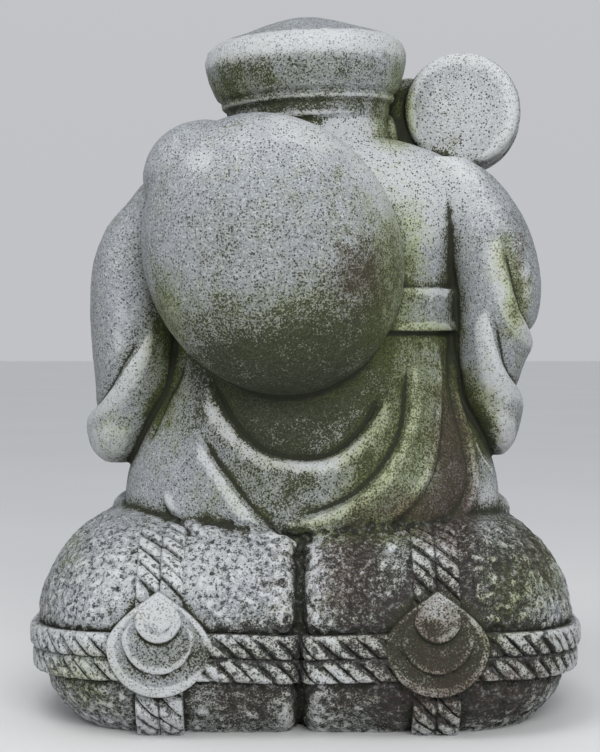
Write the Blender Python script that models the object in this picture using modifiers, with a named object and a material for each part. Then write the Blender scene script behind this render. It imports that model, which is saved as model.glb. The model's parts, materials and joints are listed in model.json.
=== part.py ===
# Stone figure of Daikoku standing on two rice bales, carved from one block of granite.
# Metres, +Z up. The figure faces -Y, so its back is at +Y and its own right hand is at -X.
# The origin is on the ground, under the middle of the footprint.
import math

import bmesh
import bpy
import numpy as np
from mathutils import Euler, Matrix, Vector
from mathutils.bvhtree import BVHTree

# Rice bales
RIGHT_BALE_WIDTH = 0.179
LEFT_BALE_WIDTH = 0.172
BALE_LENGTH = 0.254
BALE_HEIGHT = 0.135
BALE_MIDDLE = 0.055  # height at which a bale is widest
BALE_WORN = 0.019  # how much of each round belly is cut away, so that it stands flat
BALE_PRESS = 0.002  # how far each bale is pressed into the other
WEB_WIDTH = 0.02064  # of the stone left in the valley between the bales
WEB_SHARE = 0.88  # how much of a bale's length and height it has
STRAW_LOBE = 0.017  # how wide the straw bulges beside the ropes
ROPE_WIDTH = 0.0144  # the ropes are flattened and lie side by side in pairs
ROPE_LOBE = 0.012  # length of rope from one groove between its strands to the next
ROPE_GROOVE = 0.0026
ROPE_LINE = 0.0028  # how deep the lines are between two ropes and beside them
ROPE_BEDDING = 0.005  # how deep the straw is drawn in under the level ropes
UPRIGHT_BEDDING = 0.0026  # and under the upright ones
ROPE_LEVEL = 0.0505  # height of the level pair of ropes at the ends of a bale
ROPE_SAG = 0.007  # how much lower they lie along its sides
SIDE_PROUD = 0.0046  # how far the level ropes stand out of the round of the straw at its sides
END_PROUD = 0.0024  # and at its ends
UPRIGHT_PROUD = 0.0004
TAIL_PROUD = 0.0052  # how much further the upright ropes stand out below the level ones
LID_RADIUS = 0.0312
LID_LEVEL = 0.0577
LID_THICKNESS = 0.016
LID_PROUD = 0.003  # how far a lid stands out of the end of its bale
LID_RELIEF = 0.0013  # and each of its jewels out of the one below
RIGHT_TIE = 0.0055  # how far the right bale's lids and upright ropes are from its middle, to the left
LEFT_TIE = 0.0004  # the same on the left bale

# Figure
FIGURE_HEIGHT = 0.310  # from the top of the bales to the top of the cap
CAP_RADIUS = 0.067
CAP_CROWN = 0.053
CAP_ROLL_RADIUS = 0.0033
CAP_BAND_RADIUS = 0.054
MALLET_RADIUS = 0.0378
MALLET_LENGTH = 0.088
HANDLE_RADIUS = 0.0085
BELT_WIDTH = 0.027
BELT_PROUD = 0.0042
SACK_DEPTH = 0.064  # half of the sack's thickness

# Carving
CARVING_STEP = FIGURE_HEIGHT / 310  # the figure is laid out in steps: 310 of them to its height
SEAT = BALE_HEIGHT + 0.005  # the level that the figure's layout starts from
VOXEL = 0.0021  # how fine the forms are fused into one stone
FOLD_EDGE = 0.0022  # over what width the face of a fold rises from the groove beside it
FOLD_CREST = 0.003  # how far the fold's line is from that groove
TRIANGLES = 4500  # of the stone before its ropes and lids are joined to it

STONE = (0.47, 0.48, 0.46)


def at(x, y, z):
    """A point of the figure's layout, in steps, with z above the bales."""
    return Vector((x * CARVING_STEP, y * CARVING_STEP, SEAT + z * CARVING_STEP))


def steps(*lengths):
    """Lengths in the figure's layout steps, as metres."""
    return [length * CARVING_STEP for length in lengths]


def clear_scene():
    for old in list(bpy.data.objects):
        bpy.data.objects.remove(old)


def new_collection(name):
    collection = bpy.data.collections.new(name)
    bpy.context.scene.collection.children.link(collection)
    return collection


def granite():
    material = bpy.data.materials.new("granite")
    material.use_nodes = True
    shader = material.node_tree.nodes["Principled BSDF"]
    shader.inputs["Base Color"].default_value = (*STONE, 1)
    shader.inputs["Roughness"].default_value = 0.9
    shader.inputs["Metallic"].default_value = 0.0
    return material


def smooth_line(points, spacing):
    """Points along a smooth curve through the given ones; every coordinate is carried along."""
    knots = np.array([tuple(p) for p in points], float)
    padded = np.vstack([2 * knots[0] - knots[1], knots, 2 * knots[-1] - knots[-2]])
    line = []
    for i in range(len(knots) - 1):
        a, b, c, d = padded[i : i + 4]
        count = max(1, round(float(np.linalg.norm((c - b)[:3])) / spacing))
        for t in np.arange(count) / count:
            bend = (2 * a - 5 * b + 4 * c - d) * t**2 + (3 * b - a - 3 * c + d) * t**3
            line.append(0.5 * (2 * b + (c - a) * t + bend))
    line.append(knots[-1])
    return np.array(line)


def unit(rows):
    return rows / np.maximum(np.linalg.norm(rows, axis=1, keepdims=True), 1e-9)


def ramp(value, low, high):
    """0 at low, 1 at high and smooth between them."""
    share = min(max((value - low) / (high - low), 0), 1)
    return share * share * (3 - 2 * share)


def mesh_object(name, bm, collection=None):
    bmesh.ops.recalc_face_normals(bm, faces=bm.faces)
    mesh = bpy.data.meshes.new(name)
    bm.to_mesh(mesh)
    bm.free()
    made = bpy.data.objects.new(name, mesh)
    (collection or FORMS).objects.link(made)
    return made


def helper(name, bm):
    """A form that is not shown itself, but cut from the stone or joined to it as it is."""
    made = mesh_object(name, bm, HELPERS)
    made.hide_render = True
    made.display_type = "WIRE"
    return made


def ball(name, centre, radii, turn=(0, 0, 0)):
    """An ellipsoid, turned by Euler angles in degrees."""
    bm = bmesh.new()
    bmesh.ops.create_uvsphere(bm, u_segments=40, v_segments=28, radius=1)
    place = Matrix.LocRotScale(centre, Euler([math.radians(a) for a in turn]), Vector(radii))
    bmesh.ops.transform(bm, matrix=place, verts=bm.verts)
    return mesh_object(name, bm)


def limb(name, points, radii, flat=1.0):
    """A round-ended tube through layout points, with its radii in steps. flat squeezes it front to back."""
    line = smooth_line([(*p, r) for p, r in zip(points, radii)], 4)
    curve = bpy.data.curves.new(name, "CURVE")
    curve.dimensions = "3D"
    curve.bevel_depth = CARVING_STEP
    curve.bevel_resolution = 6
    curve.use_fill_caps = True
    spline = curve.splines.new("POLY")
    spline.points.add(len(line) - 1)
    for knot, (x, y, z, radius) in zip(spline.points, line):
        knot.co = (*at(x, y, z), 1)
        knot.radius = radius
    made = bpy.data.objects.new(name, curve)
    FORMS.objects.link(made)
    ends = [
        ball(f"{name} end {i}", at(*line[i][:3]), steps(*[line[i][3] * 0.98] * 3)) for i in (0, -1)
    ]
    if flat != 1.0:
        middle = at(*line[len(line) // 2][:3])
        squeeze = Matrix.Translation(middle) @ Matrix.Scale(flat, 4, (0, 1, 0)) @ Matrix.Translation(-middle)
        for form in [made, *ends]:
            form.matrix_world = squeeze @ form.matrix_world
    return made


def turned(name, profile, place):
    """A solid turned about its own Z, from a profile of (radius, height) that runs from top to bottom."""
    bm = bmesh.new()
    corners = [bm.verts.new((radius, 0, height)) for radius, height in profile]
    for a, b in zip(corners, corners[1:]):
        bm.edges.new((a, b))
    mesh = bpy.data.meshes.new(name)
    bm.to_mesh(mesh)
    bm.free()
    made = bpy.data.objects.new(name, mesh)
    FORMS.objects.link(made)
    screw = made.modifiers.new("turn", "SCREW")
    screw.steps = screw.render_steps = 56
    screw.use_merge_vertices = True
    screw.merge_threshold = 0.0001
    made.matrix_world = place
    return made


def loft(name, rings, keep=mesh_object):
    """A solid through rings of as many points each, closed by flat ends."""
    bm = bmesh.new()
    rows = [[bm.verts.new(point) for point in ring] for ring in rings]
    for low, high in zip(rows, rows[1:]):
        for i in range(len(low)):
            j = (i + 1) % len(low)
            bm.faces.new((low[i], low[j], high[j], high[i]))
    bm.faces.new(rows[0])
    bm.faces.new(rows[-1])
    return keep(name, bm)


def ring_loft(name, rings):
    """A closed solid through rings of as many points each, whose last ring joins the first."""
    bm = bmesh.new()
    rows = [[bm.verts.new(point) for point in ring] for ring in rings]
    for row, following in zip(rows, rows[1:] + rows[:1]):
        for i in range(len(row)):
            j = (i + 1) % len(row)
            bm.faces.new((row[i], row[j], following[j], following[i]))
    return helper(name, bm)


def squared(angle, power):
    """The point at an angle of a unit circle that is squared up by power above 2."""
    c, s = math.cos(angle), math.sin(angle)
    reach = (abs(c) ** power + abs(s) ** power) ** (-1 / power)
    return c * reach, s * reach


def level_ring(z, x, y, half_width, back, front, power=2.3, proud=0.0, sides=72):
    """A level section of the figure: an oval with its own depth to the back and to the front."""
    ring = []
    for i in range(sides):
        c, s = squared(2 * math.pi * i / sides, power)
        depth = back if s > 0 else front
        outward = Vector((c, s, 0)).normalized() * proud
        ring.append(at(x + c * half_width, y + s * depth, z) + outward)
    return ring


# The robed body from the hem to the neck: height, middle x, half width, depth to the back, to the front.
BODY = (
    (-40, -8, 112, 78, 66),
    (-16, -8, 122, 88, 76),
    (8, -8, 122, 86, 80),
    (34, -8, 114, 79, 80),
    (66, -7, 101, 71, 82),
    (100, -6, 95, 66, 86),
    (135, -5, 99, 66, 84),
    (165, -5, 106, 65, 72),
    (190, -6, 111, 61, 58),
    (206, -7, 105, 54, 48),
    (217, -7, 93, 48, 42),
    (225, -7, 76, 42, 38),
    (231, -7, 54, 35, 32),
    (234, -7, 26, 20, 20),
)
NECK = ((220, -8, 56, 46, 42), (234, -8, 51, 45, 40), (246, -8, 49, 44, 40), (256, -8, 49, 44, 40))

# Level sections of the two hanging sleeves: height, middle x, y, half width, half depth.
RIGHT_SLEEVE = (
    (218, -92, 2, 18, 30),
    (208, -100, 1, 26, 38),
    (192, -109, 0, 31, 45),
    (170, -119, -2, 33, 52),
    (142, -126, -4, 33, 57),
    (115, -127, -8, 31, 60),
    (90, -123, -10, 27, 58),
    (64, -123, -12, 23, 54),
    (44, -128, -12, 18, 47),
    (30, -130, -12, 12, 36),
    (23, -131, -12, 5, 20),
)
LEFT_SLEEVE = (
    (214, 66, 4, 18, 30),
    (203, 76, 4, 26, 36),
    (190, 85, 2, 28, 42),
    (172, 97, 0, 31, 48),
    (148, 104, -3, 33, 55),
    (120, 106, -6, 33, 60),
    (94, 106, -8, 32, 59),
    (70, 106, -10, 30, 55),
    (50, 113, -12, 25, 49),
    (37, 118, -12, 23, 45),
    (25, 120, -12, 18, 36),
    (18, 120, -12, 10, 22),
)


def body_section(height):
    """The body's section at a height, read between the rows of BODY."""
    rows = np.array(BODY, float)
    return [float(np.interp(height, rows[:, 0], rows[:, k])) for k in range(1, 5)]


def make_robe():
    rows = smooth_line([(z, x, w, b, f) for z, x, w, b, f in BODY], 6)
    loft("robe", [level_ring(z, x, 0, w, b, f) for z, x, w, b, f in rows])
    loft("neck", [level_ring(z, x, 0, w, b, f, 2.0) for z, x, w, b, f in NECK])
    for name, sleeve in (("right sleeve", RIGHT_SLEEVE), ("left sleeve", LEFT_SLEEVE)):
        rows = smooth_line(sleeve, 5)
        loft(name, [level_ring(z, x, y, w, d, d, 2.2) for z, x, y, w, d in rows])


def make_belt():
    top = 132
    count = 8
    rings = []
    for i in range(count + 1):
        z = top - i / count * BELT_WIDTH / CARVING_STEP
        x, w, b, f = body_section(z)
        rings.append(level_ring(z, x, 0, w, b, f, proud=BELT_PROUD))
    loft("belt", rings)
    ball("belt knot", at(-6, -90, 119), steps(15, 9, 12))
    limb("belt end right", [(-11, -90, 112), (-17, -92, 88), (-21, -91, 62)], (7, 8, 9), flat=0.6)
    limb("belt end left", [(-1, -90, 112), (6, -92, 90), (10, -91, 66)], (7, 8, 9), flat=0.6)


def make_legs():
    for name, x, side in (("right", -64, -1), ("left", 50, 1)):
        ball(f"{name} trouser", at(x, -50, 24), steps(48, 44, 50))
        ball(f"{name} hem", at(x + 21 * side, -20, -14), steps(56, 52, 20))
        ball(f"{name} cuff", at(x, -74, -8), steps(34, 30, 20))
        limb(f"{name} boot", [(x, -78, -8), (x, -100, -10), (x, -114, -14)], (19, 20, 15))


def make_sack():
    wide, high = steps(80, 90)
    ball("sack", at(17, 76, 153), (wide, SACK_DEPTH, high), turn=(0, 27, 0))
    ball("sack shoulder", at(59, 60, 201), steps(40, 50, 37))
    limb(
        "sack neck",
        [(64, 40, 200), (72, 14, 209), (78, -20, 210), (77, -46, 200), (74, -64, 184)],
        (30, 22, 20, 16, 12),
    )
    limb("sack mouth", [(74, -66, 184), (71, -74, 168), (68, -78, 152)], (10, 14, 18), flat=0.7)


def make_head():
    ball("head", at(-7, -14, 232), steps(50, 54, 44))
    ball("chin", at(-7, -50, 203), steps(25, 18, 17))
    for side in (-1, 1):
        x = -7 + 24 * side
        ball(f"cheek {side}", at(x, -42, 217), steps(26, 24, 23))
        x = -7 + 52 * side
        ball(f"ear {side}", at(x, -16, 228), steps(7, 13, 22))
        ball(f"ear lobe {side}", at(x + side, -18, 205), steps(8, 9, 13))
        limb(
            f"brow {side}",
            [(-7 + side * k, y, z) for k, y, z in ((5, -66, 240), (20, -63, 246), (36, -50, 239))],
            (3, 4, 3),
        )
        ball(f"eyelid {side}", at(-7 + 19 * side, -60, 232), steps(12, 6, 6))
        ball(f"nostril {side}", at(-7 + 8 * side, -68, 221), steps(6, 6, 5))
    limb("nose", [(-7, -64, 240), (-7, -69, 231), (-7, -74, 223)], (4, 5, 7))
    upper_lip = [(-22, -60, 211), (-13, -66, 208), (-7, -67, 209), (-1, -66, 208), (8, -60, 211)]
    limb("upper lip", upper_lip, (2, 3, 3, 3, 2))
    limb("lower lip", [(-18, -62, 207), (-7, -66, 202), (4, -62, 207)], (2, 4, 2))
    limb("beard", [(-7, -62, 196), (-7, -70, 182), (-7, -76, 164)], (13, 11, 4))


def make_cap():
    """A flat, puffed cap: a wide crown over a rolled hem and a plain band. It leans a little to the left."""
    lean = Euler((0, math.radians(3), 0))
    middle = at(-5, -5, 259.5)
    place = Matrix.Translation(middle) @ lean.to_matrix().to_4x4()
    r, c, b = CAP_RADIUS, CAP_CROWN, CAP_BAND_RADIUS
    crown = [
        (0, c), (0.2 * r, 0.985 * c), (0.43 * r, 0.90 * c), (0.6 * r, 0.82 * c), (0.78 * r, 0.75 * c),
        (0.90 * r, 0.69 * c), (0.97 * r, 0.61 * c), (r, 0.49 * c), (0.995 * r, 0.38 * c),
        (0.97 * r, 0.25 * c), (0.925 * r, 0.10 * c), (0.90 * r, 0.03 * c), (0.87 * r, 0), (0.7 * r, 0.01 * c),
        (0, 0.01 * c),
    ]
    turned("cap crown", crown, place)
    roll = CAP_ROLL_RADIUS
    rim = b + 0.1 * roll
    rolled = [(0, 0)]
    rolled += [(rim + roll * math.sin(a), roll * (math.cos(a) - 1)) for a in np.linspace(0, math.pi, 13)]
    rolled += [(0, -2 * roll)]
    turned("cap roll", rolled, place)
    low = -0.33 * c
    band = [(0, 0), (0.985 * b, 0), (b, 0.5 * low), (0.985 * b, 0.9 * low), (0.96 * b, low), (0, low)]
    turned("cap band", band, place)


def make_mallet():
    """The mallet of fortune: a barrel whose end shows beside the cap, on a handle in the right hand."""
    near = at(-108, -8, 253)
    along = Vector((-0.10, -0.994, 0.02)).normalized()
    r, half = MALLET_RADIUS, MALLET_LENGTH / 2
    middle = near + along * half
    place = Matrix.Translation(middle) @ along.to_track_quat("Z", "Y").to_matrix().to_4x4()
    edge = 0.08 * r
    barrel = [(0, half), (r - edge, half), (r, half - edge)]
    barrel += [(r * (1 + 0.03 * math.cos(a)), half * 0.88 * math.sin(a)) for a in np.linspace(1.3, -1.3, 9)]
    barrel += [(r, edge - half), (r - edge, -half), (0, -half)]
    turned("mallet barrel", barrel, place)
    hoop_width, hoop_proud = 0.12 * half, 0.045 * r
    for side in (-1, 1):
        level = side * 0.55 * half
        hoop = [
            (0, level + hoop_width), (r, level + hoop_width), (r + hoop_proud, level + 0.6 * hoop_width),
            (r + hoop_proud, level - 0.6 * hoop_width), (r, level - hoop_width), (0, level - hoop_width),
        ]
        turned(f"mallet hoop {side}", hoop, place)
    grip = at(-110, -66, 178)
    butt = grip + (grip - middle) * 0.38
    handle = HANDLE_RADIUS / CARVING_STEP
    points = [((p - at(0, 0, 0)) / CARVING_STEP) for p in (middle, grip, butt)]
    limb("mallet handle", [tuple(p) for p in points], (handle, handle, handle * 1.15))
    ball("stone left between mallet and head", at(-74, -42, 232), steps(26, 24, 46))


def make_hands():
    """Each forearm rises from the elbow to a closed fist with the thumb across it."""
    limb("right forearm", [(-124, -44, 84), (-121, -60, 118), (-113, -65, 158)], (26, 23, 17))
    limb("left forearm", [(104, -46, 84), (96, -62, 122), (80, -67, 160)], (26, 23, 17))
    for name, x, y, z, side in (("right", -110, -67, 178, 1), ("left", 75, -68, 182, -1)):
        ball(f"{name} fist", at(x, y + 4, z), steps(16, 14, 16))
        for k in range(4):
            level = z + 10.5 - 7 * k
            limb(
                f"{name} finger {k}",
                [(x + 12 * side, y + 2, level), (x + 6 * side, y - 12, level), (x - 8 * side, y - 12, level)],
                (4, 4, 4),
            )
        thumb = [(x - 12 * side, y, z - 4), (x - 10 * side, y - 11, z + 5), (x, y - 15, z + 13)]
        limb(f"{name} thumb", thumb, (5, 5, 4))


def bale_reach(ways, half_width, inner):
    """How far a bale reaches along each way: round over its outer side, squarer beside the other bale."""
    outer_power, inner_power, section_power, length_power = 2.15, 28.0, 1.2, 2.6
    above, below = BALE_HEIGHT - BALE_MIDDLE, BALE_MIDDLE + BALE_WORN
    across = abs(ways[:, 0]) / half_width
    up = abs(ways[:, 2]) / np.where(ways[:, 2] > 0, above, below)
    along = abs(ways[:, 1]) / (BALE_LENGTH / 2)
    power = np.where(ways[:, 0] * inner > 0, inner_power, outer_power)
    near, far = np.zeros(len(ways)), np.full(len(ways), 2 * BALE_LENGTH)
    for _ in range(26):
        reach = (near + far) / 2
        section = (across * reach) ** power + (up * reach) ** outer_power
        inside = section**section_power + (along * reach) ** length_power < 1
        near, far = np.where(inside, reach, near), np.where(inside, far, reach)
    return near


def drawn_in(gap):
    """1 under a pair of ropes, falling to 0 over a round lobe of straw on each side of it."""
    out = np.clip((abs(gap) - ROPE_WIDTH) / STRAW_LOBE, 0, 1)
    return 1 - np.sqrt(1 - (1 - out) ** 2)


def round_form(name, detail, place):
    """A ball whose points are put in place by a function of the ways to them."""
    bm = bmesh.new()
    bmesh.ops.create_icosphere(bm, subdivisions=detail, radius=1)
    ways = unit(np.array([vert.co for vert in bm.verts]))
    for vert, point in zip(bm.verts, place(ways)):
        vert.co = point
    return mesh_object(name, bm)


def make_bale(name, x, width, inner, tied):
    """One bale, drawn in where each pair of ropes binds it. inner points at the other bale."""

    def place(ways):
        reach = bale_reach(ways, width / 2, inner)
        side = x + ways[:, 0] * reach - tied
        level = ways[:, 2] * reach + BALE_MIDDLE - rope_level(ways[:, 1] * reach)
        sunk = np.maximum(drawn_in(level) * ROPE_BEDDING, drawn_in(side) * UPRIGHT_BEDDING)
        return ways * (reach - sunk)[:, None] + (x, 0, BALE_MIDDLE)

    return round_form(name, 7, place)


def make_web():
    """The stone left standing in the valley between the two bales."""

    def place(ways):
        reach = bale_reach(ways, WEB_WIDTH / 2, ways[:, 0])
        return ways * (reach * WEB_SHARE)[:, None] + (0, 0, BALE_MIDDLE)

    round_form("web", 5, place)


def rope_level(y):
    """The height of the level ropes: they sag between the two ends of a bale."""
    return ROPE_LEVEL - ROPE_SAG * np.clip(1 - (2 * y / BALE_LENGTH) ** 2, 0, 1)


def teardrop(radius, count=14):
    """The outline of a round jewel with a point on top: half a circle, and two sides that meet above it."""
    arc = [math.pi + math.pi * i / count for i in range(count + 1)]
    outline = [(radius * math.cos(a), radius * math.sin(a)) for a in arc]
    foot, corner, apex = Vector((1, 0)), Vector((0.96, 0.42)), Vector((0, 1.02))
    sides = 5
    for side, start, end in ((1, foot, apex), (-1, apex, foot)):
        for i in range(1, sides):
            t = i / sides
            x, y = (start * (1 - t) ** 2 + corner * (2 * t * (1 - t)) + end * t**2) * radius
            outline.append((side * x, y))
        if side > 0:
            outline.append((0, apex.y * radius))
    return outline


def make_lid(name, x, end):
    """The end of a bale: three jewels, each laid over the top of the one below and standing out at its foot."""
    back = BALE_LENGTH / 2 + LID_PROUD - LID_THICKNESS / 2
    jewels = []
    for k, (share, rise) in enumerate(((1.0, 0.0), (0.70, 0.13), (0.45, 0.48))):
        radius = LID_RADIUS * share
        middle = Vector((x, end * (back + k * LID_RELIEF), LID_LEVEL + LID_RADIUS * rise))
        tip = Matrix.Rotation(math.radians(2.4 * k) * end, 3, "X")
        rings = [
            [middle + tip @ Vector((p, depth, q)) for p, q in teardrop(radius)]
            for depth in (-LID_THICKNESS / 2, LID_THICKNESS / 2)
        ]
        jewels.append(loft(f"{name} jewel {k}", rings, helper))
    return jewels


def rope_course(around, middle, level, inner):
    """Points of the straw under a pair of ropes, the ways outward, and how far out the ropes' face is.

    The face dips into the straw between the bales, and where the ropes are worn away.
    """
    surface = BVHTree.FromObject(around, bpy.context.evaluated_depsgraph_get())
    tail_top = ROPE_LEVEL - 1.4 * ROPE_WIDTH
    worn_from = BALE_HEIGHT - 1.6 * ROPE_WIDTH
    hidden_from = BALE_LENGTH / 2 - 0.4 * ROPE_WIDTH
    rows = []
    for angle in np.linspace(0, 2 * math.pi, 360, endpoint=False):
        if level:
            outward = Vector((math.cos(angle), math.sin(angle), 0))
            start = Vector((middle, 0, rope_level(BALE_LENGTH / 2 * abs(outward.y))))
            proud = END_PROUD + (SIDE_PROUD - END_PROUD) * outward.x**2 + ROPE_BEDDING
        else:
            outward = Vector((0, math.cos(angle), math.sin(angle)))
            start = Vector((middle, 0, BALE_MIDDLE))
            proud = UPRIGHT_PROUD + UPRIGHT_BEDDING
        hit = surface.ray_cast(start + outward, -outward)[0]
        if level:
            between_bales = (hit.x - middle) * inner > 0
            gone = ramp(hidden_from - abs(hit.y), 0, ROPE_WIDTH) if between_bales else 0
        else:
            gone = ramp(hit.z, worn_from, worn_from + ROPE_WIDTH)
            proud += TAIL_PROUD * (1 - ramp(hit.z, tail_top - 0.8 * ROPE_WIDTH, tail_top))
        rows.append((*hit, *outward, proud + gone * (-ROPE_LINE - proud)))
    return np.array(rows)


def make_ropes(name, around, middle, level, inner):
    """A pair of flattened ropes laid round a bale, with slanting grooves between their strands."""
    course = rope_course(around, middle, level, inner)
    course = np.vstack([course, course[:1]])
    gone = np.concatenate([[0], np.cumsum(np.linalg.norm(np.diff(course[:, :3], axis=0), axis=1))])
    lobes = round(gone[-1] / ROPE_LOBE)
    across = np.array((1, 0.78, 0.22, 0, -0.22, -0.78, -1))
    lined = np.array((1, 0, 0, 1, 0, 0, 1))
    behind = 0.5 * ROPE_LOBE * np.array((0, 0, 0, 0.5, 1, 1, 1))  # the second rope's strands lie behind
    place = np.repeat(np.arange(lobes), 2) + np.tile((0, 0.5), lobes)
    slant = ROPE_WIDTH if level else -ROPE_WIDTH
    place = place[:, None] / lobes * gone[-1] - slant * across[None] + behind[None]
    rows = np.stack([np.interp(place % gone[-1], gone, values) for values in course.T], 2)
    sunk = np.maximum(np.tile((ROPE_GROOVE, 0), lobes)[:, None], ROPE_LINE * lined[None])
    sideways = np.array((0, 0, ROPE_WIDTH) if level else (ROPE_WIDTH, 0, 0))
    face = rows[:, :, :3] + sideways * across[None, :, None]
    face = face + rows[:, :, 3:6] * (rows[:, :, 6] - sunk)[:, :, None]
    depth = ROPE_BEDDING + 2 * ROPE_LINE
    buried = [rows[:, k, :3] + sideways * across[k] - rows[:, k, 3:6] * depth for k in (-1, 0)]
    return ring_loft(name, np.concatenate([face, np.stack(buried, 1)], 1))


def make_bales():
    """The bales. The ropes and lids are given back, as they are joined to the stone when it is carved."""
    make_web()
    joined = []
    sides = (("right", RIGHT_BALE_WIDTH, -1, RIGHT_TIE), ("left", LEFT_BALE_WIDTH, 1, LEFT_TIE))
    for name, width, side, tie in sides:
        middle = side * (width / 2 - BALE_PRESS)
        tied = middle + tie
        bale = make_bale(f"{name} bale", middle, width, -side, tied)
        bpy.context.view_layer.update()
        joined.append(make_ropes(f"{name} level ropes", bale, middle, True, -side))
        joined.append(make_ropes(f"{name} upright ropes", bale, tied, False, -side))
        joined += make_lid(f"{name} back lid", tied, 1)
        joined += make_lid(f"{name} front lid", tied, -1)
    return joined


# Fold lines, in layout steps. "back" and "front" lines are (x, z) points seen from there; "round" lines
# are (x, y, z) points that go round the stone. Then come the height of the ridge, the depth of the groove
# beside it, their widths, and the side that the groove is on (0 for a groove along the line itself).
FOLDS = (
    # Swags of the robe under the sack
    ("back", ((62, 79), (57, 69), (45, 47), (27, 30), (7, 24), (-14, 24), (-32, 33), (-49, 52), (-57, 72)),
     4.5, 5.5, 12, 10, 1),
    ("back", ((68, 45), (59, 29), (46, 11), (33, -5), (20, -16), (1, -25), (-12, -27)), 3.0, 4.0, 9, 9, 1),
    ("back", ((8, -5), (-4, -3), (-26, 3), (-43, 15), (-57, 31), (-65, 47), (-70, 71), (-71, 90)),
     4.5, 4.0, 9, 14, 1),
    # The broad fold that hangs from the belt at the right, between two soft ridges
    ("back", ((-42, -22), (-61, -10), (-77, 8), (-86, 30), (-90, 61), (-91, 99)), 2.2, 3.0, 7, 10, -1),
    ("back", ((-84, -20), (-96, -13), (-105, -5), (-110, 10), (-108, 30), (-103, 54), (-99, 80), (-98, 102)),
     2.5, 3.0, 5, 9, 1),
    # Hem at the left
    ("back", ((84, 2), (81, -6), (75, -11), (68, -16), (59, -20), (49, -22)), 3.2, 2.4, 6, 7, -1),
    ("back", ((70, 80), (69, 67), (66, 54), (62, 41)), 0, 1.5, 6, 6, 0),
    # Where the sleeves part from the body
    ("back", ((-95, 160), (-98, 146), (-101, 122), (-102, 92), (-103, 70), (-110, 44), (-119, 20), (-125, 8)),
     0, 3.0, 6, 6, 0),
    ("back", ((-108, 44), (-112, 33), (-116, 25), (-121, 17), (-126, 10)), 0, -3.0, 3, 2.6, 0),
    ("back", ((74, 87), (78, 75), (84, 64), (89, 53), (94, 42), (99, 30)), 0, 3.5, 5, 5, 0),
    # Pleats and shadow line under the belt
    ("back", ((-50, 103), (-75, 103), (-102, 103)), 0, 3.5, 3, 2.2, 0),
    ("back", ((-77, 104), (-78, 91), (-77, 80), (-73, 62)), 0, 2.0, 4, 3.6, 0),
    ("back", ((-54, 98), (-53, 80), (-49, 65), (-42, 50)), 0, 1.6, 5, 5, 0),
    # Layers of the hanging sleeves
    ("round", ((-125, 48, 172), (-129, 54, 153), (-132, 54, 140), (-136, 53, 128), (-141, 48, 115),
               (-149, 30, 103), (-157, 8, 97), (-159, -16, 98), (-155, -38, 108), (-148, -52, 124)),
     3.0, 4.5, 9, 10, 1),
    ("round", ((-115, 52, 124), (-119, 54, 109), (-124, 53, 96), (-129, 49, 84), (-136, 38, 73),
               (-144, 13, 63), (-147, -12, 60), (-143, -38, 68), (-134, -54, 84)), 3.0, 5.0, 9, 11, 1),
    ("round", ((93, 52, 112), (98, 53, 98), (103, 53, 90), (110, 51, 81), (117, 46, 72), (124, 38, 64),
               (131, 25, 56), (138, 5, 50), (138, -18, 50), (133, -40, 60), (124, -54, 76)),
     3.0, 4.0, 8, 9, -1),
    # Front: crossed collar, the robe's opening and the gathers of the trousers
    ("front", ((34, 216), (24, 192), (6, 166), (-14, 144), (-22, 134)), 2.5, 2.5, 7, 7, 1),
    ("front", ((-48, 216), (-39, 192), (-26, 172), (-14, 158)), 2.5, 2.5, 7, 7, -1),
    ("front", ((-6, 62), (-8, 30), (-10, 0)), 0, 3.0, 5, 6, 0),
    ("front", ((-88, 58), (-92, 36), (-90, 12)), 0, 2.5, 5, 6, 0),
    ("front", ((-64, 60), (-66, 36), (-66, 12)), 0, 2.5, 5, 6, 0),
    ("front", ((74, 58), (78, 36), (76, 12)), 0, 2.5, 5, 6, 0),
    ("front", ((50, 60), (52, 36), (52, 12)), 0, 2.5, 5, 6, 0),
)


def spread(forms):
    """One mesh that holds every form, with its modifiers and its place applied."""
    graph = bpy.context.evaluated_depsgraph_get()
    bm = bmesh.new()
    for form in forms:
        mesh = bpy.data.meshes.new_from_object(form.evaluated_get(graph))
        mesh.transform(form.matrix_world)
        bm.from_mesh(mesh)
        bpy.data.meshes.remove(mesh)
    bmesh.ops.remove_doubles(bm, verts=bm.verts, dist=0.000001)
    mesh = bpy.data.meshes.new("forms")
    bm.to_mesh(mesh)
    bm.free()
    return mesh


def applied(made):
    """The object's mesh with its modifiers applied, in place of the mesh that it had."""
    bpy.context.view_layer.update()
    mesh = bpy.data.meshes.new_from_object(made.evaluated_get(bpy.context.evaluated_depsgraph_get()))
    made.modifiers.clear()
    made.data = mesh
    return made


def fuse(name, forms, collection):
    """All forms as one stone: remeshed together, with the corners between them a little softened."""
    made = bpy.data.objects.new(name, spread(forms))
    collection.objects.link(made)
    remesh = made.modifiers.new("fuse", "REMESH")
    remesh.mode = "VOXEL"
    remesh.voxel_size = VOXEL
    soften = made.modifiers.new("soften", "SMOOTH")
    soften.factor = 0.5
    soften.iterations = 2
    applied(made)
    bm = bmesh.new()
    bm.from_mesh(made.data)
    drop_hollows(bm)
    bm.to_mesh(made.data)
    bm.free()
    for form in forms:
        bpy.data.objects.remove(form)
    return made


def drop_hollows(bm):
    """Removes the inside-out shells that line a hollow between forms, so that the stone is solid."""
    unseen = set(bm.verts)
    while unseen:
        shell, border = set(), [next(iter(unseen))]
        while border:
            vert = border.pop()
            if vert in shell:
                continue
            shell.add(vert)
            border.extend(edge.other_vert(vert) for edge in vert.link_edges)
        unseen -= shell
        faces = {face for vert in shell for face in vert.link_faces}
        volume = sum(face.calc_center_median().dot(face.normal) * face.calc_area() for face in faces)
        if volume < 0:
            bmesh.ops.delete(bm, geom=list(shell), context="VERTS")


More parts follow.
